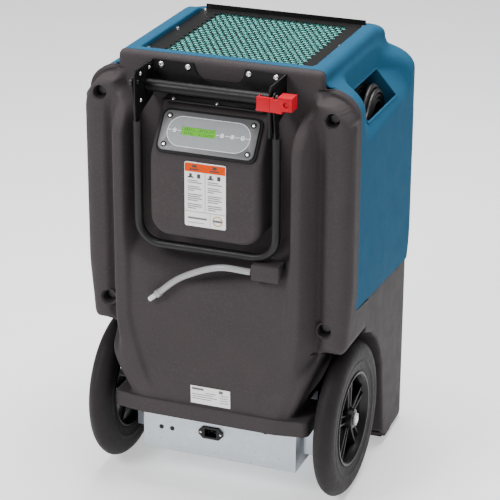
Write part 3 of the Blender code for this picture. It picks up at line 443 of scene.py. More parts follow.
GREY = surface("grey polyethylene", (0.0500, 0.0435, 0.0450), 0.52, grain=0.00022, grain_size=0.0022,
               mottle=0.05, mottle_size=0.05, speckle=0.14, Specular_IOR_Level=0.03)
BLUE = surface("blue polyethylene", (0.022, 0.088, 0.160), 0.55, grain=0.00022, grain_size=0.0024,
               mottle=0.05, mottle_size=0.06, speckle=0.08, Specular_IOR_Level=0.004)
BLACK = surface("black powder coat", (0.0035, 0.0033, 0.0034), 0.40, grain=0.00010,
                grain_size=0.0011, mottle=0.15, mottle_size=0.02, Specular_IOR_Level=0.22)
HANDLE_COAT = surface("handle coat", (0.0075, 0.0070, 0.0072), 0.42, grain=0.00010,
                      grain_size=0.0010, mottle=0.12, mottle_size=0.015, Specular_IOR_Level=0.28)
ZINC = surface("zinc plated sheet", (0.50, 0.54, 0.59), 0.36, 0.70, grain=0.00004,
               grain_size=0.004, mottle=0.04, mottle_size=0.015, rough_change=0.10)
HUB_STEEL = surface("hub nut steel", (0.30, 0.30, 0.30), 0.38, 1.0, grain=0.00002,
                    grain_size=0.0006, mottle=0.06, mottle_size=0.004)
STEEL = surface("plated fastener", (0.72, 0.72, 0.72), 0.26, 1.0, grain=0.00002,
                grain_size=0.0006, mottle=0.05, mottle_size=0.004)
DARK_STEEL = surface("dark fastener", (0.045, 0.045, 0.045), 0.42, 1.0, grain=0.00002,
                     grain_size=0.0006, mottle=0.10, mottle_size=0.004)
TYRE = surface("tyre rubber", (0.0180, 0.0158, 0.0160), 0.62, grain=0.00014, grain_size=0.0013,
               mottle=0.10, mottle_size=0.02, speckle=0.12, Specular_IOR_Level=0.16)
RUBBER = surface("black rubber", (0.0035, 0.0035, 0.0035), 0.60, grain=0.00010,
                 grain_size=0.0010, mottle=0.15, mottle_size=0.01, Specular_IOR_Level=0.22)
CORD_RUBBER = surface("cord rubber", (0.0120, 0.0110, 0.0105), 0.44, grain=0.00008,
                      grain_size=0.0016, mottle=0.15, mottle_size=0.012)
PLASTIC = surface("black plastic", (0.0040, 0.0038, 0.0040), 0.36, grain=0.00006,
                  grain_size=0.0009, mottle=0.12, mottle_size=0.01, Specular_IOR_Level=0.28)
BRASS_INK = surface("brass label ink", (0.50, 0.36, 0.10), 0.45, mottle=0.04, mottle_size=0.004)
PLATE = surface("panel plate", (0.105, 0.105, 0.110), 0.42, 0.2, grain=0.00003, grain_size=0.0006,
                mottle=0.04, mottle_size=0.008)
SILVER = surface("silver overlay", (0.190, 0.205, 0.220), 0.40, grain=0.00003, grain_size=0.0006,
                 mottle=0.03, mottle_size=0.01)
PRINT = surface("white print", (0.75, 0.77, 0.78), 0.45, mottle=0.03, mottle_size=0.004)
GLYPH = surface("grey print", (0.16, 0.17, 0.18), 0.50, mottle=0.05, mottle_size=0.003)
KEY = surface("key membrane", (0.78, 0.81, 0.82), 0.42, grain=0.00003, grain_size=0.0005,
              mottle=0.03, mottle_size=0.003)
DISPLAY = surface("display glass", (0.085, 0.36, 0.004), 0.30, mottle=0.06, mottle_size=0.012,
                  Emission_Strength=0.12, Emission_Color=(0.10, 0.60, 0.0, 1), Specular_IOR_Level=0.15)
DISPLAY_INK = surface("display cells", (0.010, 0.050, 0.004), 0.40, mottle=0.10, mottle_size=0.002)
RED = surface("red moulding", (0.46, 0.0, 0.0110), 0.34, grain=0.00004, grain_size=0.0012,
              mottle=0.05, mottle_size=0.008, Specular_IOR_Level=0.18)
TEAL = surface("filter mesh", (0.17, 0.66, 0.60), 0.85, grain=0.0006, grain_size=0.0016,
               mottle=0.22, mottle_size=0.0030)
PAPER = surface("label paper", (0.80, 0.80, 0.79), 0.38, mottle=0.015, mottle_size=0.02)
ORANGE = surface("label band", (0.66, 0.060, 0.0), 0.50, mottle=0.02, mottle_size=0.01,
                 Specular_IOR_Level=0.05)
LABEL_INK = surface("label ink", (0.11, 0.11, 0.12), 0.5, mottle=0.05, mottle_size=0.004)
DARK_INK = surface("dark label ink", (0.03, 0.03, 0.03), 0.5, mottle=0.05, mottle_size=0.004)
BOARD = surface("circuit board", (0.015, 0.15, 0.06), 0.40, grain=0.0001, grain_size=0.003,
                mottle=0.3, mottle_size=0.005)
HOSE = braided("braided clear hose", (0.36, 0.36, 0.37))
FITTING = surface("white fitting", (0.66, 0.66, 0.67), 0.35, grain=0.00003, grain_size=0.0008,
                  mottle=0.04, mottle_size=0.004)
FINS = finned("aluminium fins", (0.62, 0.63, 0.64), 0.0024)
FLOOR = surface("pale floor", (0.90, 0.90, 0.90), 0.8, mottle=0.01, mottle_size=0.5,
                Emission_Strength=0.60, Emission_Color=(1, 1, 1, 1))

SLOTS = {                     # material slots, each with its usual material first
    "moulded_grey": (GREY,), "moulded_blue": (BLUE,), "black_coat": (BLACK, HANDLE_COAT),
    "zinc": (ZINC,), "steel": (STEEL, HUB_STEEL, DARK_STEEL), "tyre_rubber": (TYRE,),
    "black_rubber": (RUBBER, CORD_RUBBER), "panel_silver": (SILVER, PLATE),
    "black_plastic": (PLASTIC, GLYPH, DISPLAY_INK, LABEL_INK, DARK_INK),
    "display_green": (DISPLAY,), "key_white": (KEY, PRINT, PAPER, FITTING),
    "latch_red": (RED, ORANGE, BRASS_INK), "filter_teal": (TEAL,), "hose_clear": (HOSE,),
    "aluminium": (FINS,), "board_green": (BOARD,)}


# ---------------------------------------------------------------- camera, light and floor
CAMERA_PLACE = (1.2582, -3.3075, 1.8846)
CAMERA_AIM = (-0.0061, 0.008, 0.415)
CAMERA_ROLL = 0.0039
CAMERA_LENS = 145.4
WORLD_STRENGTH = 0.34
SOFTBOXES = (                 # name, place, target, width and height, power
    ("key", (-1.5, -2.7, 2.6), (0, 0, 0.45), (1.4, 1.4), 100),
    ("top", (0.1, 0.4, 3.2), (0, 0, 0.5), (2.0, 2.0), 165),
    ("side", (3.0, -0.6, 1.8), (0, 0, 0.5), (1.2, 2.0), 3))
FLOOR_REACH = 30


def studio():
    camera_data = bpy.data.cameras.new("camera")
    camera = bpy.data.objects.new("camera", camera_data)
    bpy.context.scene.collection.objects.link(camera)
    camera.location = CAMERA_PLACE
    aim = Vector(CAMERA_AIM) - camera.location
    roll = Matrix.Rotation(CAMERA_ROLL, 4, 'Z')
    camera.rotation_euler = (aim.to_track_quat('-Z', 'Y').to_matrix().to_4x4() @ roll).to_euler()
    camera_data.lens = CAMERA_LENS
    camera_data.sensor_width = 36
    bpy.context.scene.camera = camera

    world = bpy.data.worlds.new("studio")
    world.use_nodes = True
    background = world.node_tree.nodes["Background"]
    background.inputs["Color"].default_value = (1, 1, 1, 1)
    background.inputs["Strength"].default_value = WORLD_STRENGTH
    bpy.context.scene.world = world

    for name, place, target, size, power in SOFTBOXES:
        data = bpy.data.lights.new(name, 'AREA')
        data.shape = 'RECTANGLE'
        data.size, data.size_y = size
        data.energy = power
        lamp = bpy.data.objects.new(name, data)
        bpy.context.scene.collection.objects.link(lamp)
        lamp.location = place
        lamp.rotation_euler = (Vector(target) - Vector(place)).to_track_quat('-Z', 'Y').to_euler()

    r = FLOOR_REACH
    corners = [(-r, -r, 0), (r, -r, 0), (r, r, 0), (-r, r, 0)]
    add("floor", mesh_of(corners, [(0, 1, 2, 3)]), FLOOR)


studio()


# ---------------------------------------------------------------- hose and mains lead
HOSE_R = 0.006
HOSE_POINTS = 40
HOSE_ROUTE = ((0.0875, -0.2335, 0.480), (0.025, -0.2375, 0.480), (-0.045, -0.2370, 0.450),
              (-0.095, -0.2350, 0.408))
CORD_R = 0.0045
COIL_CENTRE = Vector((0.031, 0.6625))
COIL_COLUMNS = ((0.1665, 0.0), (0.1757, 0.002), (0.1849, 0.004), (0.2080, 0.009),
                (0.2172, 0.018))      # x of each column of turns, and how far its top sags
COIL_STRAIGHT = 0.050
COIL_LEAN = 0.034             # how far the tops of the turns lean to the rear
COIL_NARROWS = 0.22           # and how much narrower they are there
COIL_LAYERS = (0.0525, 0.0615, 0.0705)
TURNS_ACROSS = 5
STEPS_A_TURN = 40


def drain_hose():
    route = catmull(HOSE_ROUTE, HOSE_POINTS)
    end = route[-1]
    along = (end - route[-2]).normalized()
    profile = [(0, 0.0003), (0.0044, 0.0003), (0.0044, 0.0020)]
    for barb in range(3):
        start = 0.0022 + 0.0045 * barb
        profile += [(0.0052, start), (0.0040, start + 0.0036), (0.0040, start + 0.0043)]
    profile += [(0.0046, 0.0162), (0.0046, 0.0178), (0.0030, 0.0180), (0.0030, 0.0060), (0, 0.0060)]
    fitting = add("barbed_fitting", lathe(profile, end, along, 32), FITTING,
                  stands_for="hose_fitting")
    shade(fitting, 40)
    sleeve = [(0.0064, -0.010), (0.0072, -0.0095), (0.0072, -0.0005), (0.0064, 0.0),
              (0.0061, -0.005)]
    collar = add("hose_collar", lathe(sleeve, end, along, 32), HOSE)
    shade(collar, 40)
    hose = tube("clear_hose", route, HOSE_R, HOSE, stands_for="drain_hose", sides=6)


def oval(radius, turn):
    """Point of an upright oval: a fraction of the way round it, from the bottom, rising rearwards."""
    straight, quarter = COIL_STRAIGHT, math.pi * radius / 2

    def on_arc(angle, middle):
        return radius * math.cos(angle), middle + radius * math.sin(angle)

    s = turn % 1.0 * (4 * quarter + 2 * straight)
    if s < quarter:
        return on_arc(s / radius - math.pi / 2, -straight / 2)
    s -= quarter
    if s < straight:
        return radius, s - straight / 2
    s -= straight
    if s < 2 * quarter:
        return on_arc(s / radius, straight / 2)
    s -= 2 * quarter
    if s < straight:
        return -radius, straight / 2 - s
    return on_arc(math.pi + (s - straight) / radius, -straight / 2)


def column_at(place):
    """x and sag of a turn that lies between two columns."""
    low = min(int(place), TURNS_ACROSS - 2)
    before, after = COIL_COLUMNS[low], COIL_COLUMNS[low + 1]
    return tuple(mix(a, b, place - low) for a, b in zip(before, after))


def mains_lead():
    """Layers of turns side by side, wound from the inside out; returns the points and length too."""
    points = []
    rng = random.Random(7)
    total = TURNS_ACROSS * len(COIL_LAYERS)
    for turn in range(total):
        layer, column = divmod(turn, TURNS_ACROSS)
        forward = layer % 2 == 0
        lift = rng.uniform(-0.0012, 0.0012)
        for step in range(STEPS_A_TURN):
            t = step / STEPS_A_TURN
            shift = smooth((t - 0.70) / 0.30)
            last = column == TURNS_ACROSS - 1
            place = column + (0 if last else shift)
            place = place if forward else TURNS_ACROSS - 1 - place
            x, sag = column_at(place)
            radius = COIL_LAYERS[layer]
            if last and layer < len(COIL_LAYERS) - 1:
                radius = mix(radius, COIL_LAYERS[layer + 1], shift)
            y, z = oval(radius, t)
            top = smooth((z - 0.02) / 0.05)
            y = y * (1 - COIL_NARROWS * top) + COIL_LEAN * top
            points.append(Vector((x + lift * top, COIL_CENTRE.x + y, COIL_CENTRE.y + z - sag * top)))
    length = sum((b - a).length for a, b in zip(points, points[1:]))
    lead = tube("mains_lead", points, CORD_R, CORD_RUBBER,
                stands_for="cord_coil", sides=3)
    return lead, points, length


drain_hose()
lead, lead_points, lead_length = mains_lead()


# ---------------------------------------------------------------- front housing
RIDGE_INNER, RIDGE_OUTER = 0.152, 0.199       # half distances of the ridges' edges
RIDGE_HIGH_Z, RIDGE_FADE = 0.73, 0.055        # above this height they run into the neck
RIDGE_LOW_Z, RIDGE_PINCH = 0.37, 0.047        # below this one they close in on the shelf
RIDGE_LIP = 0.006             # from a ridge's outer edge to the side wall below the columns
COLUMN_TAPER = 0.008          # how much narrower the columns are at their feet
COLUMN_FOOT = (0.014, 0.018)  # width and height of the rounding of their lower corners
COLUMN_EDGE_R = (0.028, 0.020)        # rounding of their front edges: upright, and over the crown
NECK_EDGE_R = 0.010
LOW_EDGE_R = 0.012


def ridge_inner(z):
    """Half distance between the inner edges of the two ridges."""
    if z > RIDGE_HIGH_Z:
        return mix(RIDGE_INNER, 0.184, smooth((z - RIDGE_HIGH_Z) / RIDGE_FADE) ** 1.2)
    return RIDGE_INNER - RIDGE_PINCH * max(0.0, (RIDGE_LOW_Z - z) / 0.175) ** 1.4


def ridge_outer(z):
    """Half distance to the groove on the outer side of each ridge."""
    if z > RIDGE_HIGH_Z:
        return mix(RIDGE_OUTER, 0.190, smooth((z - RIDGE_HIGH_Z) / RIDGE_FADE))
    return RIDGE_OUTER - RIDGE_PINCH * min(1.0, max(0.0, (RIDGE_LOW_Z - z) / 0.18)) ** 1.9


def half_width(z):
    """Half width of the housings at a height."""
    if z > SHOULDER_Z:
        over = max(0.0, z - (TOP_Z - NECK_R)) / NECK_R
        return NECK_HALF - NECK_R * (1 - math.sqrt(max(0.0, 1 - over * over)))
    if z > SHOULDER_LOW_Z:
        rise = (z - SHOULDER_LOW_Z) / (SHOULDER_Z + 0.001 - SHOULDER_LOW_Z)
        return NECK_HALF + (HALF_WIDTH - NECK_HALF) * math.sqrt(1 - rise * rise)
    if z > COLUMN_LOW_Z:
        corner = max(0.0, 1 - (z - COLUMN_LOW_Z) / COLUMN_FOOT[1])
        taper = COLUMN_TAPER * smooth((0.45 - z) / 0.13)
        return HALF_WIDTH - taper - COLUMN_FOOT[0] * (1 - math.sqrt(1 - corner * corner))
    if z > SHELF_TOP_Z:
        return ridge_outer(z) + RIDGE_LIP
    return SHELF_HALF


def edge_radius(z):
    """Rounding between the front and the sides at a height."""
    if z > SHOULDER_Z:
        return NECK_EDGE_R
    if z > COLUMN_LOW_Z:
        return mix(*COLUMN_EDGE_R, smooth((z - 0.735) / 0.035))
    return LOW_EDGE_R


def seam_y(z):
    """Depth at which the front housing ends on its sides."""
    if z > SHOULDER_Z:
        return NECK_SEAM_Y
    if z > BLUE_LOW_FRONT_Z - 0.0015:
        return SIDE_SEAM_Y
    if z > SHELF_TOP_Z + 0.010:
        return LOW_SEAM_Y
    return SHELF_SEAM_Y


def apron_edge(x):
    """Height of the apron's upper edge, which rises towards the ridges."""
    return 0.440 + 0.042 * min(1.0, abs(x) / 0.150) ** 2


def front_rise(x, z, inset=0.0):
    """How far the front face stands out of the recess floor, before its edge is rounded."""
    x = abs(x)
    column = COLUMN_Y - FLOOR_Y
    inner = ridge_inner(z) + inset
    outer = ridge_outer(z) - inset
    if z <= SHELF_TOP_Z:
        return SHELF_RISE - 0.010 * smooth((x - 0.12) / 0.08)
    fade = smooth((z - 0.700) / 0.084)
    ridge = mix(RIDGE_RISE, -column, fade) - 0.010 * smooth((0.26 - z) / 0.07)
    lean = 0.004 * math.sin(math.pi * min(max((z - SHELF_TOP_Z) / 0.28, 0), 1))
    apron = (APRON_RISE - 0.004 + lean) * smooth((apron_edge(x) + 0.052 - z) / 0.060)
    share = smooth((z - 0.275) / 0.040)
    low = mix(ridge - 0.006, mix(GROOVE_RISE, -column, fade), share)
    outside = mix(ridge - 0.010, -column, share)
    flank = mix(low, outside, smooth((x - outer - 2 * inset) / 0.014))
    value = mix(ridge, flank, smooth((x - outer + 0.022) / 0.020))
    value *= 1 - smooth((z - SHOULDER_Z + 0.020) / 0.018)
    return mix(apron, value, smooth((x - inner + 0.006) / 0.014))


def edge_distance(x, z):
    """Distance from a point of the front face to the outline, where the edge is rounded."""
    x = abs(x)
    distance = half_width(z) - x
    if SHOULDER_LOW_Z < z <= SHOULDER_Z:
        a = max(0.0, x - NECK_HALF) / (HALF_WIDTH - NECK_HALF)
        b = (z - SHOULDER_LOW_Z) / (SHOULDER_Z - SHOULDER_LOW_Z)
        reach = mix(HALF_WIDTH - NECK_HALF, SHOULDER_Z - SHOULDER_LOW_Z, smooth(b))
        round_off = (1 - math.hypot(a, b)) * reach
        distance = min(distance, mix(0.04, round_off, smooth((x - NECK_HALF + 0.004) / 0.010)))
    if z > SHOULDER_Z:
        distance = min(distance, TOP_Z - z)
    if COLUMN_LOW_Z < z < COLUMN_LOW_Z + 0.035:
        beside = smooth((x - ridge_outer(z)) / 0.012)
        distance = min(distance, mix(0.035, z - COLUMN_LOW_Z, beside))
    return max(distance, 0.0)


BAND = 0.012                  # full width of the band round the columns' crowns
BAND_LIP = 0.004              # rounding of its outer edge
BAND_Y = -0.1515              # and its front face


def band_width(z):
    """Width of the raised band that follows the shoulder in front of its seam."""
    return BAND * smooth((z - 0.735) / 0.040) if z <= SHOULDER_Z else 0.0


def front_y(x, z, inset=0.0):
    radius = edge_radius(z)
    distance = edge_distance(x, z)
    band = band_width(z)
    past = max(0.0, radius - max(0.0, distance - band))
    rolled = radius - math.sqrt(max(0.0, radius * radius - past * past))
    y = FLOOR_Y - front_rise(x, z, inset) + rolled * (1 - inset / radius) + inset
    if band and distance < band:
        lip = max(0.0, 1 - distance / BAND_LIP)
        y = mix(y, BAND_Y + BAND_LIP * lip * lip + inset, smooth(band / BAND * 3 - 1))
    return y


def inner_height(z):
    """Height of the inner sheet's row that belongs to an outer row."""
    if z > SHOULDER_Z:
        return z - WALL
    drop = WALL * max(0.0, (z - SHOULDER_LOW_Z) / (SHOULDER_Z - SHOULDER_LOW_Z))
    drop += WALL * (smooth((z - SHELF_LOW_Z) / 0.03) if z < SHELF_TOP_Z + 0.003 else 0)
    lift = WALL * smooth((z - 0.26) / 0.05) * smooth((0.385 - z) / 0.05)
    return z - drop + lift


FINE = 6                      # points that each span of a row is divided into


def front_row(z, inset=0.0):
    """Points along the front housing at one height, from the right seam to the left one."""
    width, radius = half_width(z), edge_radius(z)
    outer = ridge_outer(z) - inset
    inner = min(ridge_inner(z) + inset, outer - 0.039)
    marks = [0, 0.3 * inner, 0.6 * inner, 0.82 * inner, inner - 0.007, inner,
             inner + 0.007, mix(inner, outer, 0.5), outer - 0.012]
    last = width - radius
    if last <= marks[-1]:
        marks = [mark * (last - 0.002) / marks[-1] for mark in marks]
    marks += [mix(marks[-1], last, step / 3) for step in (1, 2, 3)]
    columns = []
    for a, b in zip(marks, marks[1:]):
        columns += [mix(a, b, step / FINE) for step in range(FINE)]
    height = inner_height(z) if inset else z
    right = [(x, front_y(x, z, inset), height) for x in columns]
    turns = 3 * FINE
    for step in range(turns + 1):
        x = last + radius * math.sin(math.radians(90) * step / turns)
        y = front_y(x, z, inset)
        shrunk = last + (x - last) * (1 - inset / radius)
        right.append((shrunk, y, height))
    start = right[-1][1]
    seam = seam_y(z)
    for step in range(1, 4 * FINE + 1):
        y = mix(start, seam, step / (4 * FINE))
        right.append((width - inset, y, height))
    left = [(-x, y, h) for x, y, h in right[1:]]
    return right[::-1] + left


def front_heights():
    """Heights of the rows: a few millimetres apart, closer where the outline turns."""
    heights = list(np.linspace(SHELF_LOW_Z, SHELF_TOP_Z, 14))
    heights += list(np.linspace(SHELF_TOP_Z + 0.0012, COLUMN_LOW_Z - 0.0002, 34))
    heights += [COLUMN_LOW_Z + COLUMN_FOOT[1] * (step / 10) ** 2 for step in range(1, 10)]
    seam = mix(BLUE_LOW_FRONT_Z, BLUE_LOW_REAR_Z, (LOW_SEAM_Y - SIDE_SEAM_Y) / (REAR_Y - SIDE_SEAM_Y))
    heights += list(np.linspace(COLUMN_LOW_Z + 0.020, seam - 0.0012, 14))
    heights += [BLUE_LOW_FRONT_Z - 0.0006]
    heights += list(np.linspace(BLUE_LOW_FRONT_Z + 0.004, SHOULDER_LOW_Z, 88))
    heights += list(np.linspace(SHOULDER_LOW_Z + 0.0025, SHOULDER_Z, 32))
    heights += list(np.linspace(SHOULDER_Z + 0.001, TOP_Z - NECK_EDGE_R, 8))
    heights += [TOP_Z - NECK_EDGE_R * (1 - math.sin(math.radians(90) * step / 7))
                for step in range(1, 7)]
    return heights


def relax(rows, times, first=1, last=-1, closed=False):
    """Soften the points of some rows: each moves half way to the mean of its four neighbours.

    The rows are closed loops, or strips whose two ends stay where they are.
    """
    grid = np.array([[tuple(point) for point in row] for row in rows])
    inside = (slice(first, last), slice(None) if closed else slice(1, -1))
    for _ in range(times):
        mean = (np.roll(grid, 1, 0) + np.roll(grid, -1, 0) + np.roll(grid, 1, 1)
                + np.roll(grid, -1, 1)) / 4
        grid[inside] = (grid[inside] + mean[inside]) / 2
    return grid


def bridged(outer, inner, gap, count):
    """Both sheets with extra rows wherever two neighbouring outer rows lie far apart."""
    outer = [np.array(row) for row in outer]
    inner = [np.array(row) for row in inner]
    apart = [np.abs(a - b).max() > gap for a, b in zip(outer, outer[1:])]
    filled = []
    for rows in (outer, inner):
        out = []
        for a, b, wide in zip(rows, rows[1:], apart):
            out.append(a)
            if wide:
                out += [mix(a, b, step / count) for step in range(1, count)]
        filled.append(out + [rows[-1]])
    return filled


def top_row(row, height):
    """The row that closes the neck's top, along its seam with the blue housing."""
    middle = len(row) // 2
    right = [tuple(point) for point in row[:middle + 1]]
    width = right[0][0]
    count = sum(1 for x, y, z in right if x > width - 0.007)
    inner_x = right[count][0]
    closed = []
    for i, (x, _, _) in enumerate(right):
        x = mix(inner_x, width, (count - i) / (count + 1)) if i < count else x
        closed.append((x, NECK_SEAM_Y - SEAM / 2, height))
    return closed + [(-x, y, z) for x, y, z in closed[-2::-1]]


def sheet_mesh(outer, inner):
    """A closed wall between an outer and an inner sheet with the same rows and columns."""
    across = len(outer[0])
    count = len(outer) * across
    points = [tuple(point) for row in list(outer) + list(inner) for point in row]
    faces = []
    for r in range(len(outer) - 1):
        for c in range(across - 1):
            a = r * across + c
            face = (a, a + across, a + across + 1, a + 1)
            faces.append(face)
            faces.append(tuple(count + i for i in reversed(face)))
    last = (len(outer) - 1) * across
    rim = list(range(across)) + [r * across + across - 1 for r in range(1, len(outer))]
    rim += list(range(last + across - 2, last - 1, -1))
    rim += [r * across for r in range(len(outer) - 2, 0, -1)]
    for a, b in zip(rim, rim[1:] + rim[:1]):
        faces.append((a, b, count + b, count + a))
    return mesh_of(points, faces)


RECESSES = ((0.2197, 0.764), (0.2109, 0.366))      # x and z of the corner bolts
RECESS_R = 0.0125
RECESS_DEPTH = 0.022


def joined(meshes):
    """One helper mesh from several closed ones that don't touch."""
    bm = bmesh.new()
    for mesh in meshes:
        bm.from_mesh(mesh)
    out = bpy.data.meshes.new("joined")
    bm.to_mesh(out)
    bm.free()
    return out


def front_housing():
    outer, inner = bridged([front_row(z) for z in front_heights()],
                           [front_row(z, WALL) for z in front_heights()], 0.012, 9)
    outer.append(np.array(top_row(outer[-1], TOP_Z)))
    inner.append(np.array(top_row(inner[-1], TOP_Z - WALL)))
    outer = relax(outer, 10)
    inner = relax(inner, 10)
    shell = add("front_moulding", sheet_mesh(outer, inner), GREY, stands_for="front_housing")
    cup = [(0, 0), (RECESS_R + 0.003, 0), (RECESS_R + 0.003, RECESS_DEPTH + 0.003),
           (0, RECESS_DEPTH + 0.003)]
    mouth = ((0, 0.0035), (0.0004, 0.0020), (0.0014, 0.0006), (0.0030, -0.0004), (0.0045, -0.0030),
             (0.0045, -0.03))
    bore = [(0, RECESS_DEPTH + 0.001), (RECESS_R, RECESS_DEPTH + 0.001)]
    bore += [(RECESS_R + wider, along) for wider, along in mouth] + [(0, -0.03)]
    cups, bores = [], []
    for x, z in RECESSES:
        rim = front_y(x, z) + 0.001
        for side in (-1, 1):
            cups.append(lathe(cup, (side * x, rim + 0.002, z), (0, 1, 0), 40))
            bores.append(lathe(bore, (side * x, rim, z), (0, 1, 0), 40))
    cut(shell, helper(joined(cups)), 'UNION')
    cut(shell, helper(joined(bores)))
    shade(shell, 50)


# ---------------------------------------------------------------- blue upper rear housing
# The scoop round the cord pocket: height and x up its face, then its ends in depth.
SCOOP = ((0.690, 0.2580), (0.722, 0.2395), (0.767, 0.2000), (0.812, 0.1985), (0.820, 0.1985))
SCOOP_FRONT = (-0.112, -0.057)        # where it starts, and is full depth
SCOOP_REAR = (0.119, 0.192)           # where it starts to rise again, and ends


NECK_REAR_Y = 0.218
TOP_REAR_R = 0.032            # rounding of the neck's top at the rear
REAR_FALL = 0.010             # how far the rim falls away behind the inlet
REAR_SLOPE = 0.018            # how far the shoulders fall towards the rear
WELL = (0.164, -0.131, 0.177)         # half width, front and rear of the air inlet's well
LEDGE = (0.150, -0.112, 0.163)        # and of the opening in its ledge
LEDGE_Z = 0.8280
WELL_R = 0.006                # corners of both, seen from above
WELL_LIP = 0.004              # rounding of the rim's inner edge
RIM_R = 0.013                 # and of its outer edge
HOUSING_R = (0.036, 0.030)    # upright rear corners: of the housing, and of the neck
COUNTS = {"front": 24, "side": 64, "back": 60, "corner": 12}      # points of a loop's parts


def soft_half_width(z):
    """Half width with the crease between neck and shoulder filled in."""
    spread = 0.010 * smooth((z - 0.770) / 0.02) * smooth((0.836 - z) / 0.012)
    if spread <= 0.0002:
        return half_width(z)
    samples = [half_width(min(z + spread * (step / 6), TOP_Z - 0.010)) for step in range(-6, 7)]
    return sum(samples) / len(samples)


def scoop_x(z):
    """How far in the scoop round the cord pocket reaches, at a height."""
    if z <= SCOOP[0][0]:
        return SCOOP[0][1]
    for (z0, x0), (z1, x1) in zip(SCOOP, SCOOP[1:]):
        if z <= z1:
            return mix(x0, x1, (z - z0) / (z1 - z0))
    return SCOOP[-1][1]


def scooped(x, y, z):
    """Push the right shoulder in round the cord pocket."""
    share = smooth((y - SCOOP_FRONT[0]) / (SCOOP_FRONT[1] - SCOOP_FRONT[0]))
    behind = min(max((SCOOP_REAR[1] - y) / (SCOOP_REAR[1] - SCOOP_REAR[0]), 0.0), 1.0)
    share *= 1 - (1 - behind) ** 2
    low = smooth((z - SCOOP[0][0] + 0.006) / 0.020)
    return mix(x, min(x, scoop_x(z)), share * low)


def side_taper(y):
    return (HALF_WIDTH - REAR_HALF) * smooth(0.15 + 0.7 * (y - SIDE_SEAM_Y) / (REAR_Y - SIDE_SEAM_Y))


def blue_low_z(y):
    return mix(BLUE_LOW_FRONT_Z, BLUE_LOW_REAR_Z, (y - SIDE_SEAM_Y) / (REAR_Y - SIDE_SEAM_Y))


def rear_y(z):
    if z > SHOULDER_Z:
        over = max(0.0, z - (TOP_Z - TOP_REAR_R)) / TOP_REAR_R
        return NECK_REAR_Y - TOP_REAR_R * (1 - math.sqrt(max(0.0, 1 - over * over)))
    rise = max(0.0, (z - SHOULDER_LOW_Z) / (SHOULDER_Z + 0.001 - SHOULDER_LOW_Z))
    return NECK_REAR_Y + (REAR_Y - NECK_REAR_Y) * math.sqrt(1 - rise * rise)


def loop(right, left, front, back, front_radius, back_radius):
    """A closed loop of points round a box with rounded corners, anticlockwise from above.

    right and left give the half widths at a depth y, so that the sides can taper.
    """
    points = []

    def corner(cx, cy, radius, start):
        for step in range(COUNTS["corner"]):
            angle = math.radians(start + 90 * step / COUNTS["corner"])
            points.append((cx + radius * math.cos(angle), cy + radius * math.sin(angle)))

    corner(right(front) - front_radius, front + front_radius, front_radius, -90)
    for step in range(COUNTS["side"]):
        y = mix(front + front_radius, back - back_radius, step / COUNTS["side"])
        points.append((right(y), y))
    corner(right(back) - back_radius, back - back_radius, back_radius, 0)
    for step in range(COUNTS["back"]):
        points.append((mix(right(back) - back_radius, -left(back) + back_radius,
                           step / COUNTS["back"]), back))
    corner(-left(back) + back_radius, back - back_radius, back_radius, 90)
    for step in range(COUNTS["side"]):
        y = mix(back - back_radius, front + front_radius, step / COUNTS["side"])
        points.append((-left(y), y))
    corner(-left(front) + front_radius, front + front_radius, front_radius, 180)
    for step in range(COUNTS["front"]):
        points.append((mix(-left(front) + front_radius, right(front) - front_radius,
                           step / COUNTS["front"]), front))
    return points


def fallen(points):
    """Lower the shoulders towards the rear, and the rim behind the inlet's lip."""
    out = []
    for x, y, z in points:
        neck = smooth((z - SHOULDER_Z) / 0.020)
        shoulder = REAR_SLOPE * smooth((y - 0.090) / 0.110) * smooth((z - 0.680) / 0.100)
        rim = REAR_FALL * smooth((y - 0.135) / 0.050)
        out.append((x, y, z - mix(shoulder, rim, neck)))
    return out


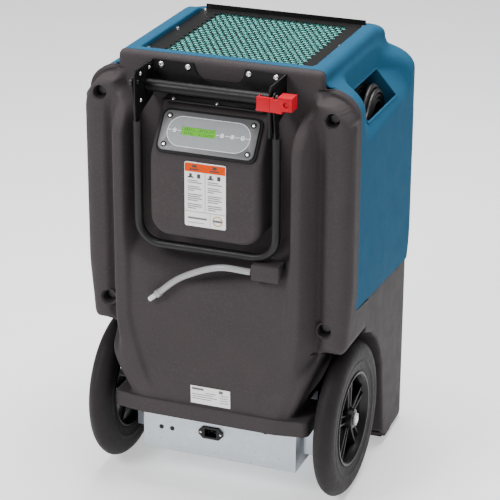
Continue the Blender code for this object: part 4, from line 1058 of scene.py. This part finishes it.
def blue_loops():
    """Closed loops from the lower edge up the walls, over the rim and down into the well."""
    loops = []
    heights = list(np.linspace(BLUE_LOW_FRONT_Z, 0.52, 16))
    heights += list(np.linspace(0.53, 0.66, 16)) + list(np.linspace(0.665, TOP_Z - RIM_R - 0.001, 58))
    for z in heights:
        seam = (seam_y(z) if z > BLUE_LOW_FRONT_Z else SIDE_SEAM_Y) + SEAM
        back = rear_y(z)
        width = soft_half_width(z)
        radius = mix(*HOUSING_R, smooth((z - SHOULDER_Z + 0.010) / 0.02))

        def reach(y, width=width, z=z):
            taper = side_taper(y) * smooth((SHOULDER_Z + 0.010 - z) / 0.02)
            return width - taper

        points = loop(reach, reach, seam, back, 0.002, radius)
        lean = smooth((0.52 - z) / (0.52 - BLUE_LOW_FRONT_Z))
        row = []
        for x, y in points:
            if x > 0.15:
                x = scooped(x, y, z)
            row.append((x, y, z + lean * (blue_low_z(y) - BLUE_LOW_FRONT_Z)))
        loops.append(row)
    front = NECK_SEAM_Y + SEAM
    for step in range(1, 9):
        angle = math.radians(90) * step / 8
        inset = RIM_R * (1 - math.cos(angle))
        z = TOP_Z - RIM_R + RIM_R * math.sin(angle)
        edge = NECK_HALF - inset
        points = loop(lambda y: edge, lambda y: edge, front + 0.12 * inset, max(rear_y(z), 0.187),
                      0.002, 0.030 - 0.6 * inset)
        loops.append([(x, y, z) for x, y in points])
    half, well_front, well_back = WELL
    for step in range(0, 7):
        angle = math.radians(90) * step / 6
        out = WELL_LIP * (1 - math.sin(angle))
        points = loop(lambda y: half + out, lambda y: half + out, well_front - out, well_back + out,
                      WELL_R + out, WELL_R + out)
        loops.append([(x, y, TOP_Z - WELL_LIP + WELL_LIP * math.cos(angle)) for x, y in points])
    walls = [(WELL, z) for z in (0.8345, 0.8335, LEDGE_Z + 0.001, LEDGE_Z)]
    for (half, near, far), z in walls + [(LEDGE, LEDGE_Z), (LEDGE, LEDGE_Z - 0.004)]:
        points = loop(lambda y: half, lambda y: half, near, far, WELL_R, WELL_R)
        loops.append([(x, y, z) for x, y in points])
    return [fallen(row) for row in loops]


EXHAUST_Z = 0.585
EXHAUST_R = 0.118


def blue_housing():
    loops = relax(blue_loops(), 5, 32, 88, closed=True)
    points = [tuple(point) for row in loops for point in row]
    skin = mesh_of(points, ring_faces(len(loops), len(loops[0])))
    shell = add("blue_moulding", skin, BLUE, stands_for="upper_rear_housing")
    solid = shell.modifiers.new("wall", 'SOLIDIFY')
    solid.thickness = 0.003
    solid.offset = -1
    settle(shell)
    y0, y1 = POCKET_Y
    liner = helper(slab([(0.150, POCKET_LOW_Z - WALL), (0.2435, POCKET_LOW_Z - WALL),
                         (0.2430, 0.7200), (0.2000, 0.7690), (0.150, 0.7710)],
                        y0 - WALL, y1 + WALL, 'Y'))
    hollow = [(0.154, POCKET_LOW_Z), (0.2395, POCKET_LOW_Z), tuple(MOUTH_LOW), (0.30, 0.7215),
              (0.30, 0.767), tuple(MOUTH_HIGH), (0.154, 0.767)]
    cut(shell, liner, 'UNION')
    hollow = rounded_polygon(hollow, [0, 0.004, 0, 0, 0, 0, 0.004])
    cut(shell, helper(slab(hollow, y0, y1, 'Y')))
    cut(shell, helper(lathe([(0, 0), (EXHAUST_R, 0), (EXHAUST_R, 0.1), (0, 0.1)],
                            (0, 0.2, EXHAUST_Z), (0, 1, 0), 96)))
    shade(shell, 40)


# ---------------------------------------------------------------- pieces copied from the frame
def refined(name, material, node, body="machine", edge=0.0, segments=3, voxel=0.0, soften=0):
    """A copy of a CAD solid whose edges are rounded, or which is remeshed and softened."""
    mesh = frame["nodes"][node].data.copy()
    bm = bmesh.new()
    bm.from_mesh(mesh)
    bmesh.ops.remove_doubles(bm, verts=bm.verts, dist=0.00001)
    bmesh.ops.dissolve_limit(bm, angle_limit=math.radians(0.5), verts=bm.verts, edges=bm.edges)
    bm.to_mesh(mesh)
    bm.free()
    piece = add(name, mesh, material, body, node)
    stored_normals = piece.data.attributes.get("custom_normal")
    if stored_normals:
        piece.data.attributes.remove(stored_normals)
    if voxel:
        remesh = piece.modifiers.new("remesh", 'REMESH')
        remesh.mode = 'VOXEL'
        remesh.voxel_size = voxel
        settle(piece)
        relaxed = piece.modifiers.new("soften", 'SMOOTH')
        relaxed.iterations = soften
        settle(piece)
        piece.data.materials.clear()
        piece.data.materials.append(material)
        piece.data.shade_smooth()
        return piece
    if edge:
        settle(bevel(piece, edge, segments))
    return shade(piece)


front_housing()
blue_housing()
refined("grey_base_moulding", GREY, "lower_rear_housing", voxel=0.0028, soften=8)


# ---------------------------------------------------------------- control pod and panel
POD_HALF = 0.105
POD_LOW_Z = 0.527
POD_TOP_Z = 0.7645
POD_FRONT_Y = -0.238
POD_EDGE = 0.013              # rounding between the pod's front and its sides
POD_KNEE = 0.006              # softness of the knee under the panel
PANEL_SEAT = 0.0066           # panel face to the pod's slanted face
ON_PANEL = (Matrix.Translation(PANEL_CENTRE)
            @ Matrix.Rotation(math.radians(90) - PANEL_TILT, 4, 'X'))
KEYS = {"key_power": -0.0643, "key_left": 0.0256, "key_middle": 0.0447, "key_right": 0.0641}
KEY_ROW = 0.001
KEY_R = 0.0042
LINKS = ((-0.0773, -0.0700), (-0.0585, -0.0522), (0.0138, 0.0200), (0.0312, 0.0392),
         (0.0503, 0.0585), (0.0697, 0.0773))       # printed lines between the keys
GLYPHS = {"key_power": 0.0016, "key_left": 0.0012, "key_middle": 0.0018, "key_right": 0.0014}
CELL_ROWS, CELL_COLUMNS, CELL_PARTS = 2, 14, 3
CELL_GAP = (5, 6)             # columns left empty
DISPLAY_BOX = (-0.0192, 0.0015, 0.064, 0.0155)     # centre across and up, width and height


def evenly(outline, count):
    """A closed outline with evenly spaced points."""
    knots = [Vector(point) for point in outline] + [Vector(outline[0])]
    return [tuple(point) for point in spaced(knots, [i / count for i in range(count)])]


def capped(loops, tip=None):
    """Closed mesh through loops of equal count: flat at the first one, pointed at the tip."""
    across = len(loops[0])
    points = [tuple(point) for row in loops for point in row]
    faces = [tuple(range(across))[::-1]] + ring_faces(len(loops), across)
    last = (len(loops) - 1) * across
    if tip is None:
        faces.append(tuple(range(last, last + across)))
    else:
        points.append(tuple(tip))
        faces += [(last + c, last + (c + 1) % across, len(points) - 1) for c in range(across)]
    return outward(mesh_of(points, faces))


def pod_front_y(z):
    """Front of the pod: upright below, leaning back behind the panel."""
    seat_y = PANEL_CENTRE.y + math.cos(PANEL_TILT) * PANEL_SEAT
    seat_z = PANEL_CENTRE.z - math.sin(PANEL_TILT) * PANEL_SEAT
    past = seat_y + (z - seat_z) * math.tan(PANEL_TILT) - POD_FRONT_Y
    return POD_FRONT_Y + (past + math.sqrt(past * past + POD_KNEE ** 2)) / 2


def control_pod():
    back = FLOOR_Y - PROUD

    def ring(inset, setback):
        half, low, high = POD_HALF - inset, POD_LOW_Z + inset, POD_TOP_Z - inset
        radii = [max(radius - inset, 0.004) for radius in (0.018, 0.018, 0.036, 0.036)]
        corners = [(half, high), (-half, high), (-half, low), (half, low)]
        outline = evenly(rounded_polygon(corners, radii, 10), 200)
        return [(x, min(pod_front_y(z) + setback, back), z) for x, z in outline]

    loops = [[(x, back, z) for x, y, z in ring(0, 0)]]
    for step in range(10):
        angle = math.radians(90) * step / 9
        loops.append(ring(POD_EDGE * (1 - math.cos(angle)), POD_EDGE * (1 - math.sin(angle))))
    middle = (POD_LOW_Z + POD_TOP_Z) / 2
    edge = ring(POD_EDGE, 0)
    for step in range(1, 24):
        share = 1 - step / 24
        row = [(x * share, middle + (z - middle) * share) for x, y, z in edge]
        loops.append([(x, pod_front_y(z), z) for x, z in row])
    skin = capped(loops, (0, pod_front_y(middle), middle))
    shade(add("pod_moulding", skin, GREY, stands_for="control_pod"), 50)


def lay(mesh):
    """Move a mesh made flat at the origin on to the control panel."""
    mesh.transform(ON_PANEL)
    return mesh


def disc(centre, radius, low, high, steps=32):
    return lathe([(0, low), (radius, low), (radius, high), (0, high)], (*centre, 0),
                 (0, 0, 1), steps)


def control_panel():
    refined("panel_seal", RUBBER, "panel_gasket", edge=0.0012)
    refined("panel_plate", PLATE, "control_panel", edge=0.0005, segments=2)
    refined("display_glass", DISPLAY, "display_window", edge=0.0002, segments=1)
    across, up, wide, high = DISPLAY_BOX
    stadium = rounded(0.156, 0.056, 0.027, 12)
    overlay = add("panel_overlay", slab(stadium, -0.0001, 0.0002, 'Z'), SILVER)
    holes = [slab(rounded(wide, high, 0.001, 2, (across, up)), -0.01, 0.01, 'Z')]
    holes += [disc((x, KEY_ROW), KEY_R + 0.0004, -0.01, 0.01) for x in KEYS.values()]
    cut(overlay, helper(joined(holes)))
    lay(overlay.data)
    line = add("panel_line", slab(stadium, 0.0001, 0.0004, 'Z'), PRINT)
    cut(line, helper(slab(rounded(0.1542, 0.0542, 0.0261, 12), -0.01, 0.01, 'Z')))
    links = joined([block((a, KEY_ROW - 0.0005, 0.0001), (b, KEY_ROW + 0.0005, 0.0004))
                    for a, b in LINKS])
    lay(add("panel_links", links, PRINT).data)
    lay(line.data)
    washer = [(0.0030, 0), (0.0052, 0), (0.0052, 0.0006), (0.0030, 0.0006)]
    head = [(0, 0), (0.0030, 0), (0.0030, 0.0008), (0.0022, 0.0016), (0, 0.0019)]
    for name, section, material in (("panel_washers", washer, RUBBER), ("panel_screws", head, STEEL)):
        four = [lathe(section, (x, y, 0), (0, 0, 1), 28)
                for x in (-0.079, 0.079) for y in (-0.0266, 0.0266)]
        shade(add(name, lay(joined(four)), material))
    cells = []
    rng = random.Random(3)
    for row in range(CELL_ROWS):
        for column in range(CELL_COLUMNS):
            if column in CELL_GAP:
                continue
            x = across - 0.0272 + column * 0.0040
            y = up + 0.0035 - row * 0.0070
            for part in range(CELL_PARTS):
                if rng.random() < 0.75:
                    low = y - 0.0022 + 0.0015 * part
                    shift = rng.choice((0, 0.0008))
                    cells.append(block((x + shift, low, -0.0005),
                                       (x + 0.0018 + shift, low + 0.0010, -0.0001)))
    lay(add("display_cells", joined(cells), DISPLAY_INK).data)
    for name, size in GLYPHS.items():
        refined(name + "_cap", KEY, name, name, edge=0.0004, segments=2)
        mark = lathe([(size, 0.0007), (size + 0.0007, 0.0007), (size + 0.0007, 0.0010),
                      (size, 0.0010)], (KEYS[name], KEY_ROW, 0), (0, 0, 1), 24)
        add(name + "_mark", lay(mark), GLYPH, name)


LABEL_COLUMNS = (-0.0300, 0.0080)
LABEL_BLOCKS = ((0.004, 0.022, 0.6600, 0.6625), (0.009, 0.017, 0.6645, 0.6700),
                (0.000, 0.011, 0.6450, 0.6475), (0.003, 0.008, 0.6475, 0.6530),
                (0.018, 0.024, 0.6450, 0.6530))
LABEL_LINES = (0.020, 0.027, 0.0, 0.022, 0.026, 0.012, 0.0, 0.027, 0.024, 0.027, 0.019, 0.0,
               0.026, 0.027, 0.015)          # lengths of a column's lines; zero leaves one out


def pod_label():
    face = POD_FRONT_Y - PROUD
    paper = slab(rounded(0.078, 0.120, 0.003, 4, (0.003, 0.614)), face - 0.0001,
                 POD_FRONT_Y + 0.002, 'Y')
    add("pod_label", paper, PAPER)
    band = slab([(-0.0352, 0.6565), (0.0412, 0.6565), (0.0412, 0.6725),
                 (-0.0352, 0.6725)], face - 0.0003, face, 'Y')
    add("label_band", band, ORANGE)
    dark, pale = [], []

    def bar(group, x0, x1, z0, z1):
        group.append(slab([(x0, z0), (x1, z0), (x1, z1), (x0, z1)], face - 0.0004,
                          face - 0.0001, 'Y'))

    bar(pale, 0.0027, 0.0033, 0.5825, 0.6560)
    bar(pale, -0.0352, 0.0412, 0.5815, 0.5822)
    bar(pale, 0.0120, 0.0124, 0.5550, 0.5810)
    for column in LABEL_COLUMNS:
        for x0, x1, z0, z1 in LABEL_BLOCKS:
            bar(dark, column + x0, column + x1, z0, z1)
        for row, width in enumerate(LABEL_LINES):
            if width:
                z = 0.6400 - 0.0037 * row
                bar(pale, column, column + width, z - 0.0007, z + 0.0007)
    bar(pale, -0.0300, 0.0060, 0.5680, 0.5712)
    bar(pale, -0.0300, 0.0010, 0.5605, 0.5614)
    ring = lathe([(0.0075, -0.0001), (0.0098, -0.0001), (0.0098, 0.0003), (0.0075, 0.0003)],
                 (0.0265, face, 0.5685), (0, -1, 0), 40)
    add("label_seal", ring, BRASS_INK)
    bar(pale, 0.0180, 0.0350, 0.5665, 0.5705)
    add("label_dark_print", joined(dark), DARK_INK)
    add("label_pale_print", joined(pale), LABEL_INK)


def draped(x0, x1, z0, z1, proud, columns, rows):
    """A thin patch that follows the apron's face."""
    def sheet(offset):
        grid = [[(mix(x1, x0, c / columns), mix(z0, z1, r / rows)) for c in range(columns + 1)]
                for r in range(rows + 1)]
        return [[(x, front_y(x, z) - offset, z) for x, z in row] for row in grid]

    return sheet_mesh(sheet(proud), sheet(-0.0008))


def rating_label():
    add("rating_label", draped(-0.034, 0.044, 0.195, 0.231, 0.0010, 10, 6), PAPER)
    bars = [draped(-0.031, -0.008, 0.2235, 0.2278, 0.0013, 4, 1)]
    bars += [draped(0.022, 0.030, 0.2225, 0.2285, 0.0013, 2, 1)]
    lines = ((-0.004, 0.016), (-0.031, 0.010), (-0.031, 0.018), (-0.031, 0.006))
    for row, (a, b) in enumerate(lines):
        z = 0.2190 - 0.0045 * row
        bars.append(draped(a, b, z - 0.0006, z + 0.0006, 0.0013, 6, 1))
    bars += [draped(0.024, 0.040, z, z + 0.0011, 0.0013, 4, 1)
             for z in (0.2180, 0.2130, 0.2080, 0.2030)]
    add("rating_print", joined(bars), LABEL_INK)


# ---------------------------------------------------------------- inlet grille and filter
HOLE = (0.0102, 0.0088)       # across and along the sheet
HOLE_PITCH = (0.0127, 0.0107)
HOLE_ROWS = 24
HOLES_ACROSS = 21
GRILLE_PLAY = 0.0015          # between the sheet and the well
FIELD = (-0.1283, -0.1060)    # lower left corner of the field of holes
GRILLE_Z = 0.831


def grille_sheet():
    """The perforated sheet: strips between the rows of holes, and webs between the holes."""
    edge, near, far = WELL[0] - GRILLE_PLAY, WELL[1] + GRILLE_PLAY, WELL[2] - GRILLE_PLAY
    rows = []
    for row in range(HOLE_ROWS):
        odd = row % 2
        start = FIELD[0] + odd * HOLE_PITCH[0] / 2
        sides = []
        for hole in range(HOLES_ACROSS - odd):
            x = start + hole * HOLE_PITCH[0]
            sides += [x, x + HOLE[0]]
        low = FIELD[1] + row * HOLE_PITCH[1]
        rows.append((low, low + HOLE[1], [-edge] + sides + [edge]))
    places, faces = {}, []

    def corner(x, y):
        return places.setdefault((round(x, 6), round(y, 6)), len(places))

    below, marks = near, [-edge, edge]
    for low, high, sides in rows:
        faces.append([corner(x, below) for x in marks] + [corner(x, low) for x in sides[::-1]])
        for a, b in zip(sides[::2], sides[1::2]):
            faces.append([corner(a, low), corner(b, low), corner(b, high), corner(a, high)])
        below, marks = high, sides
    faces.append([corner(x, below) for x in marks] + [corner(edge, far), corner(-edge, far)])
    points = [(x, y, GRILLE_Z) for x, y in places]
    sheet = add("grille_sheet", mesh_of(points, faces), BLACK,
                stands_for="inlet_grille")
    solid = sheet.modifiers.new("sheet", 'SOLIDIFY')
    solid.thickness = 0.001
    solid.offset = -1
    settle(sheet)
    lip = add("grille_lip", block((-edge + 0.002, far - 0.0030, GRILLE_Z - 0.0005),
                                  (edge - 0.002, far - 0.0010, TOP_Z - 0.0002)), BLACK)
    settle(bevel(lip, 0.0006))
    heads = [lathe([(0, 0), (0.0036, 0), (0.0036, 0.0005), (0.0026, 0.0017), (0, 0.0020)],
                   (x, y, GRILLE_Z), (0, 0, 1), 24)
             for x in (-0.159, 0.159) for y in (-0.108, 0.027, 0.163)]
    shade(add("grille_screws", joined(heads), STEEL))


def filter_pad():
    """A pleated mesh pad just below the sheet."""
    near, far, top, pleat = -0.1105, 0.1615, 0.8278, 0.0045
    count = int((far - near) / pleat * 4)
    wave = [(mix(near, far, i / count), top + 0.0008 * math.sin(math.pi * i / 2))
            for i in range(count + 1)]
    outline = [(far, 0.806), (near, 0.806)] + wave
    pad = add("filter_pad", slab(outline, -0.1485, 0.1485, 'X'), TEAL, stands_for="air_filter")
    shade(pad, 60)


# ---------------------------------------------------------------- handle, bracket and latch
LEG_X = 0.131                 # centre line of the folding loop's legs
LEG_Y = -0.224
LEG_TOP_Z = 0.733
LOOP_LOW_Z = 0.505
BEND_R = 0.042
HANDLE_R = 0.008
BAR_Y, BAR_Z, BAR_R = -0.195, 0.7915, 0.011
BAR_HALF = 0.1237
SCREWS_X = (-0.1085, -0.0574, 0.0574, 0.1085)
SCREW_Z = 0.8225
PLATE_Y = FLOOR_Y - PROUD - 0.003         # front of the bracket's upright plate


def button_head(x, y, z, radius, rise, axis):
    """A domed screw head with a socket in it."""
    shape = ((0, 0.35), (0.36, 0.35), (0.40, 0.96), (0.60, 0.90), (0.84, 0.62), (1, 0.08), (1, 0),
             (0, 0))
    return lathe([(radius * r, rise * h) for r, h in shape], (x, y, z), axis, 24)


def handle_and_bracket():
    refined("bracket_sheet", BLACK, "handle_bracket", edge=0.0006, segments=2)
    half = BAR_HALF
    bar = lathe([(0, -half), (BAR_R - 0.0005, -half), (BAR_R, -half + 0.0005),
                 (BAR_R, half - 0.0005), (BAR_R - 0.0005, half), (0, half)],
                (0, BAR_Y, BAR_Z), (1, 0, 0), 48)
    shade(add("lift_tube", bar, BLACK, stands_for="lift_bar"))
    bend = [(LEG_X - BEND_R + BEND_R * math.cos(math.radians(5 * step)),
             LOOP_LOW_Z + BEND_R - BEND_R * math.sin(math.radians(5 * step))) for step in range(19)]
    path = [(LEG_X, LEG_TOP_Z)] + bend
    path += [(-x, z) for x, z in reversed(path)]
    tube("handle_tube", [(x, LEG_Y, z) for x, z in path], HANDLE_R, HANDLE_COAT, "handle",
         "handle_loop", sides=7)
    for name in ("left", "right"):
        refined("arm_plate_" + name, BLACK, "handle_arm_" + name, "handle", edge=0.0005,
                segments=2)
        refined("pivot_screw_" + name, DARK_STEEL, "handle_pivot_bolt_" + name, "handle",
                edge=0.0012)
    for i, x in enumerate(SCREWS_X, 1):
        name = f"bracket_screw_{i}"
        head = button_head(x, PLATE_Y, SCREW_Z, 0.0060, 0.0026, (0, -1, 0))
        shade(add(name + "_head", head, STEEL, stands_for=name))
    rivets = [button_head(-0.1240, y, z, 0.0036, 0.0018, (1, 0, 0))
              for y, z in ((-0.1840, 0.8195), (-0.2227, 0.8195), (-0.2226, 0.7706))]
    rivets += [button_head(x, -0.1895, 0.7692, 0.0042, 0.0020, (0, 0, 1))
               for x in (-0.076, 0.007, 0.082)]
    shade(add("bracket_rivets", joined(rivets), STEEL))


def red_latch():
    refined("keeper_moulding", RED, "latch_keeper", edge=0.0016)
    slide = refined("latch_moulding", RED, "latch", "latch", edge=0.0016)
    trims = [slab([(0.1345, 0.8115), (0.1405, 0.8115), (0.1470, 0.83), (0.1285, 0.83)],
                  -0.27, -0.22, 'Y'),
             slab([(0.1500, 0.77), (0.1800, 0.77), (0.1800, 0.83), (0.1680, 0.83),
                   (0.1680, 0.7930), (0.1500, 0.7930)], -0.27, -0.20, 'Y'),
             lathe([(0, 0), (0.0045, 0), (0.0060, 0.004), (0.0060, 0.02), (0, 0.02)],
                   (0.1580, -0.2505, 0.8050), (0, -1, 0), 32)]
    for trim in trims:
        cut(slide, helper(trim))
    shade(slide)


# ---------------------------------------------------------------- base, axle and wheels
INLET = (-0.0158, 0.1085)     # x and z of the power inlet
INLET_SCREWS_X = (-0.020, 0.020)      # from its middle
PLUGS_X, PLUG_Z = (-0.1173, -0.0952), 0.103
PLUG = ((0, 0), (0.0046, 0), (0.0046, 0.0006), (0.0036, 0.0016), (0, 0.0018))
BASE_FRONT_Y = -0.169


def base_and_axle():
    refined("base_pan", ZINC, "base_box", edge=0.0008, segments=2)
    refined("mains_inlet", PLASTIC, "power_inlet", edge=0.0006, segments=2)
    for name in ("left", "right"):
        refined("axle_hanger_" + name, ZINC, "axle_bracket_" + name, edge=0.0006, segments=2)
    front = BASE_FRONT_Y - PROUD
    screws = [button_head(INLET[0] + x, front - 0.003, INLET[1], 0.0024, 0.0012, (0, -1, 0))
              for x in INLET_SCREWS_X]
    screws.append(button_head(0.0928, front + 0.0003, 0.1248, 0.0040, 0.0020, (0, -1, 0)))
    shade(add("base_screws", joined(screws), STEEL))
    plugs = [lathe(PLUG, (x, front + 0.0003, PLUG_Z), (0, -1, 0), 24) for x in PLUGS_X]
    shade(add("base_plugs", joined(plugs), PLASTIC))
    refined("hose_outlet", GREY, "hose_port", edge=0.0035, segments=4)


# Outer halves of the wheel's sections: radius and distance from its middle plane.
TYRE_HALF = ((0.0903, 0.0150), (0.0925, 0.0163), (0.0960, 0.0166), (0.1000, 0.0170),
             (0.1080, 0.0184), (0.1090, 0.0190), (0.1105, 0.0190), (0.1115, 0.0185),
             (0.1180, 0.0196), (0.1240, 0.0200), (0.1300, 0.0194), (0.1350, 0.0178),
             (0.1400, 0.0150), (0.1440, 0.0112), (0.1470, 0.0068), (0.1485, 0.0030))
TREAD = (0.14895, 0)
RING_HALF = ((0.0899, 0.0150), (0.0899, 0.0168), (0.0885, 0.0178), (0.0860, 0.0175),
             (0.0838, 0.0150), (0.0822, 0.0100), (0.0800, 0.0060), (0.0785, 0.0030))
HUB_HALF = ((0.0085, 0.0175), (0.0170, 0.0175), (0.0185, 0.0165), (0.0200, 0.0080),
            (0.0205, 0.0030))
SPOKES = 5
SPOKE_REACH = (0.0192, 0.0800)        # radii where a spoke starts and ends
SPOKE_HALF = (0.0078, 0.0118)         # half its width there
SPOKE_DEEP, SPOKE_WEB = 0.0085, 0.0020
SPOKE_STEPS = 8


def mirrored(half, middle=()):
    """A whole section from its outer half."""
    return [*half, *middle, *((radius, -along) for radius, along in reversed(half))]


def spoke(centre, angle):
    """One double-ribbed spoke: an H section lofted outwards from the hub."""
    radial = Vector((0, math.cos(angle), math.sin(angle)))
    across = Vector((0, -math.sin(angle), math.cos(angle)))
    deep, web = SPOKE_DEEP, SPOKE_WEB
    section = [(-1, -deep), (-0.62, -deep), (-0.55, -web), (0.55, -web), (0.62, -deep), (1, -deep),
               (1, deep), (0.62, deep), (0.55, web), (-0.55, web), (-0.62, deep), (-1, deep)]
    loops = []
    for step in range(SPOKE_STEPS + 1):
        r = mix(*SPOKE_REACH, step / SPOKE_STEPS)
        half = mix(*SPOKE_HALF, smooth(step / SPOKE_STEPS))
        loops.append([centre + radial * r + across * (t * half) + Vector((a, 0, 0))
                      for t, a in section])
    return capped(loops)


def wheel(side, name):
    body = "wheel_" + name
    centre = Vector((side * WHEEL_CENTRE.x, WHEEL_CENTRE.y, WHEEL_CENTRE.z))

    def turned(section, steps):
        return lathe(section, centre, (side, 0, 0), steps)

    shade(add("tyre_" + name + "_rubber", turned(mirrored(TYRE_HALF, (TREAD,)), 128), TYRE, body,
              "tyre_" + name), 50)
    shade(add("rim_" + name + "_ring", turned(mirrored(RING_HALF), 96), PLASTIC, body,
              "rim_" + name), 40)
    shade(add("hub_" + name, turned(mirrored(HUB_HALF), 48), PLASTIC, body), 40)
    spokes = joined([spoke(centre, math.radians(90 + 360 / SPOKES * i)) for i in range(SPOKES)])
    arms = add("spokes_" + name, spokes, PLASTIC, body)
    shade(settle(bevel(arms, 0.0008, 2)))
    refined("hub_nut_" + name, HUB_STEEL, "axle_nut_" + name, edge=0.0008, segments=2)


control_pod()
control_panel()
pod_label()
rating_label()
grille_sheet()
filter_pad()
handle_and_bracket()
red_latch()
base_and_axle()
wheel(-1, "left")
wheel(1, "right")
refined("outlet_grille", PLASTIC, "exhaust_grille", edge=0.0010, segments=2)


def finish_nodes():
    """Give every CAD node that is still shown a material of its own."""
    for entry in frame["record"]["subparts"]:
        node = frame["nodes"][entry["node"]]
        node.data.materials.clear()
        dark = entry["node"].startswith("corner_bolt")
        node.data.materials.append(DARK_STEEL if dark else SLOTS[entry["material_slot"]][0])


finish_nodes()
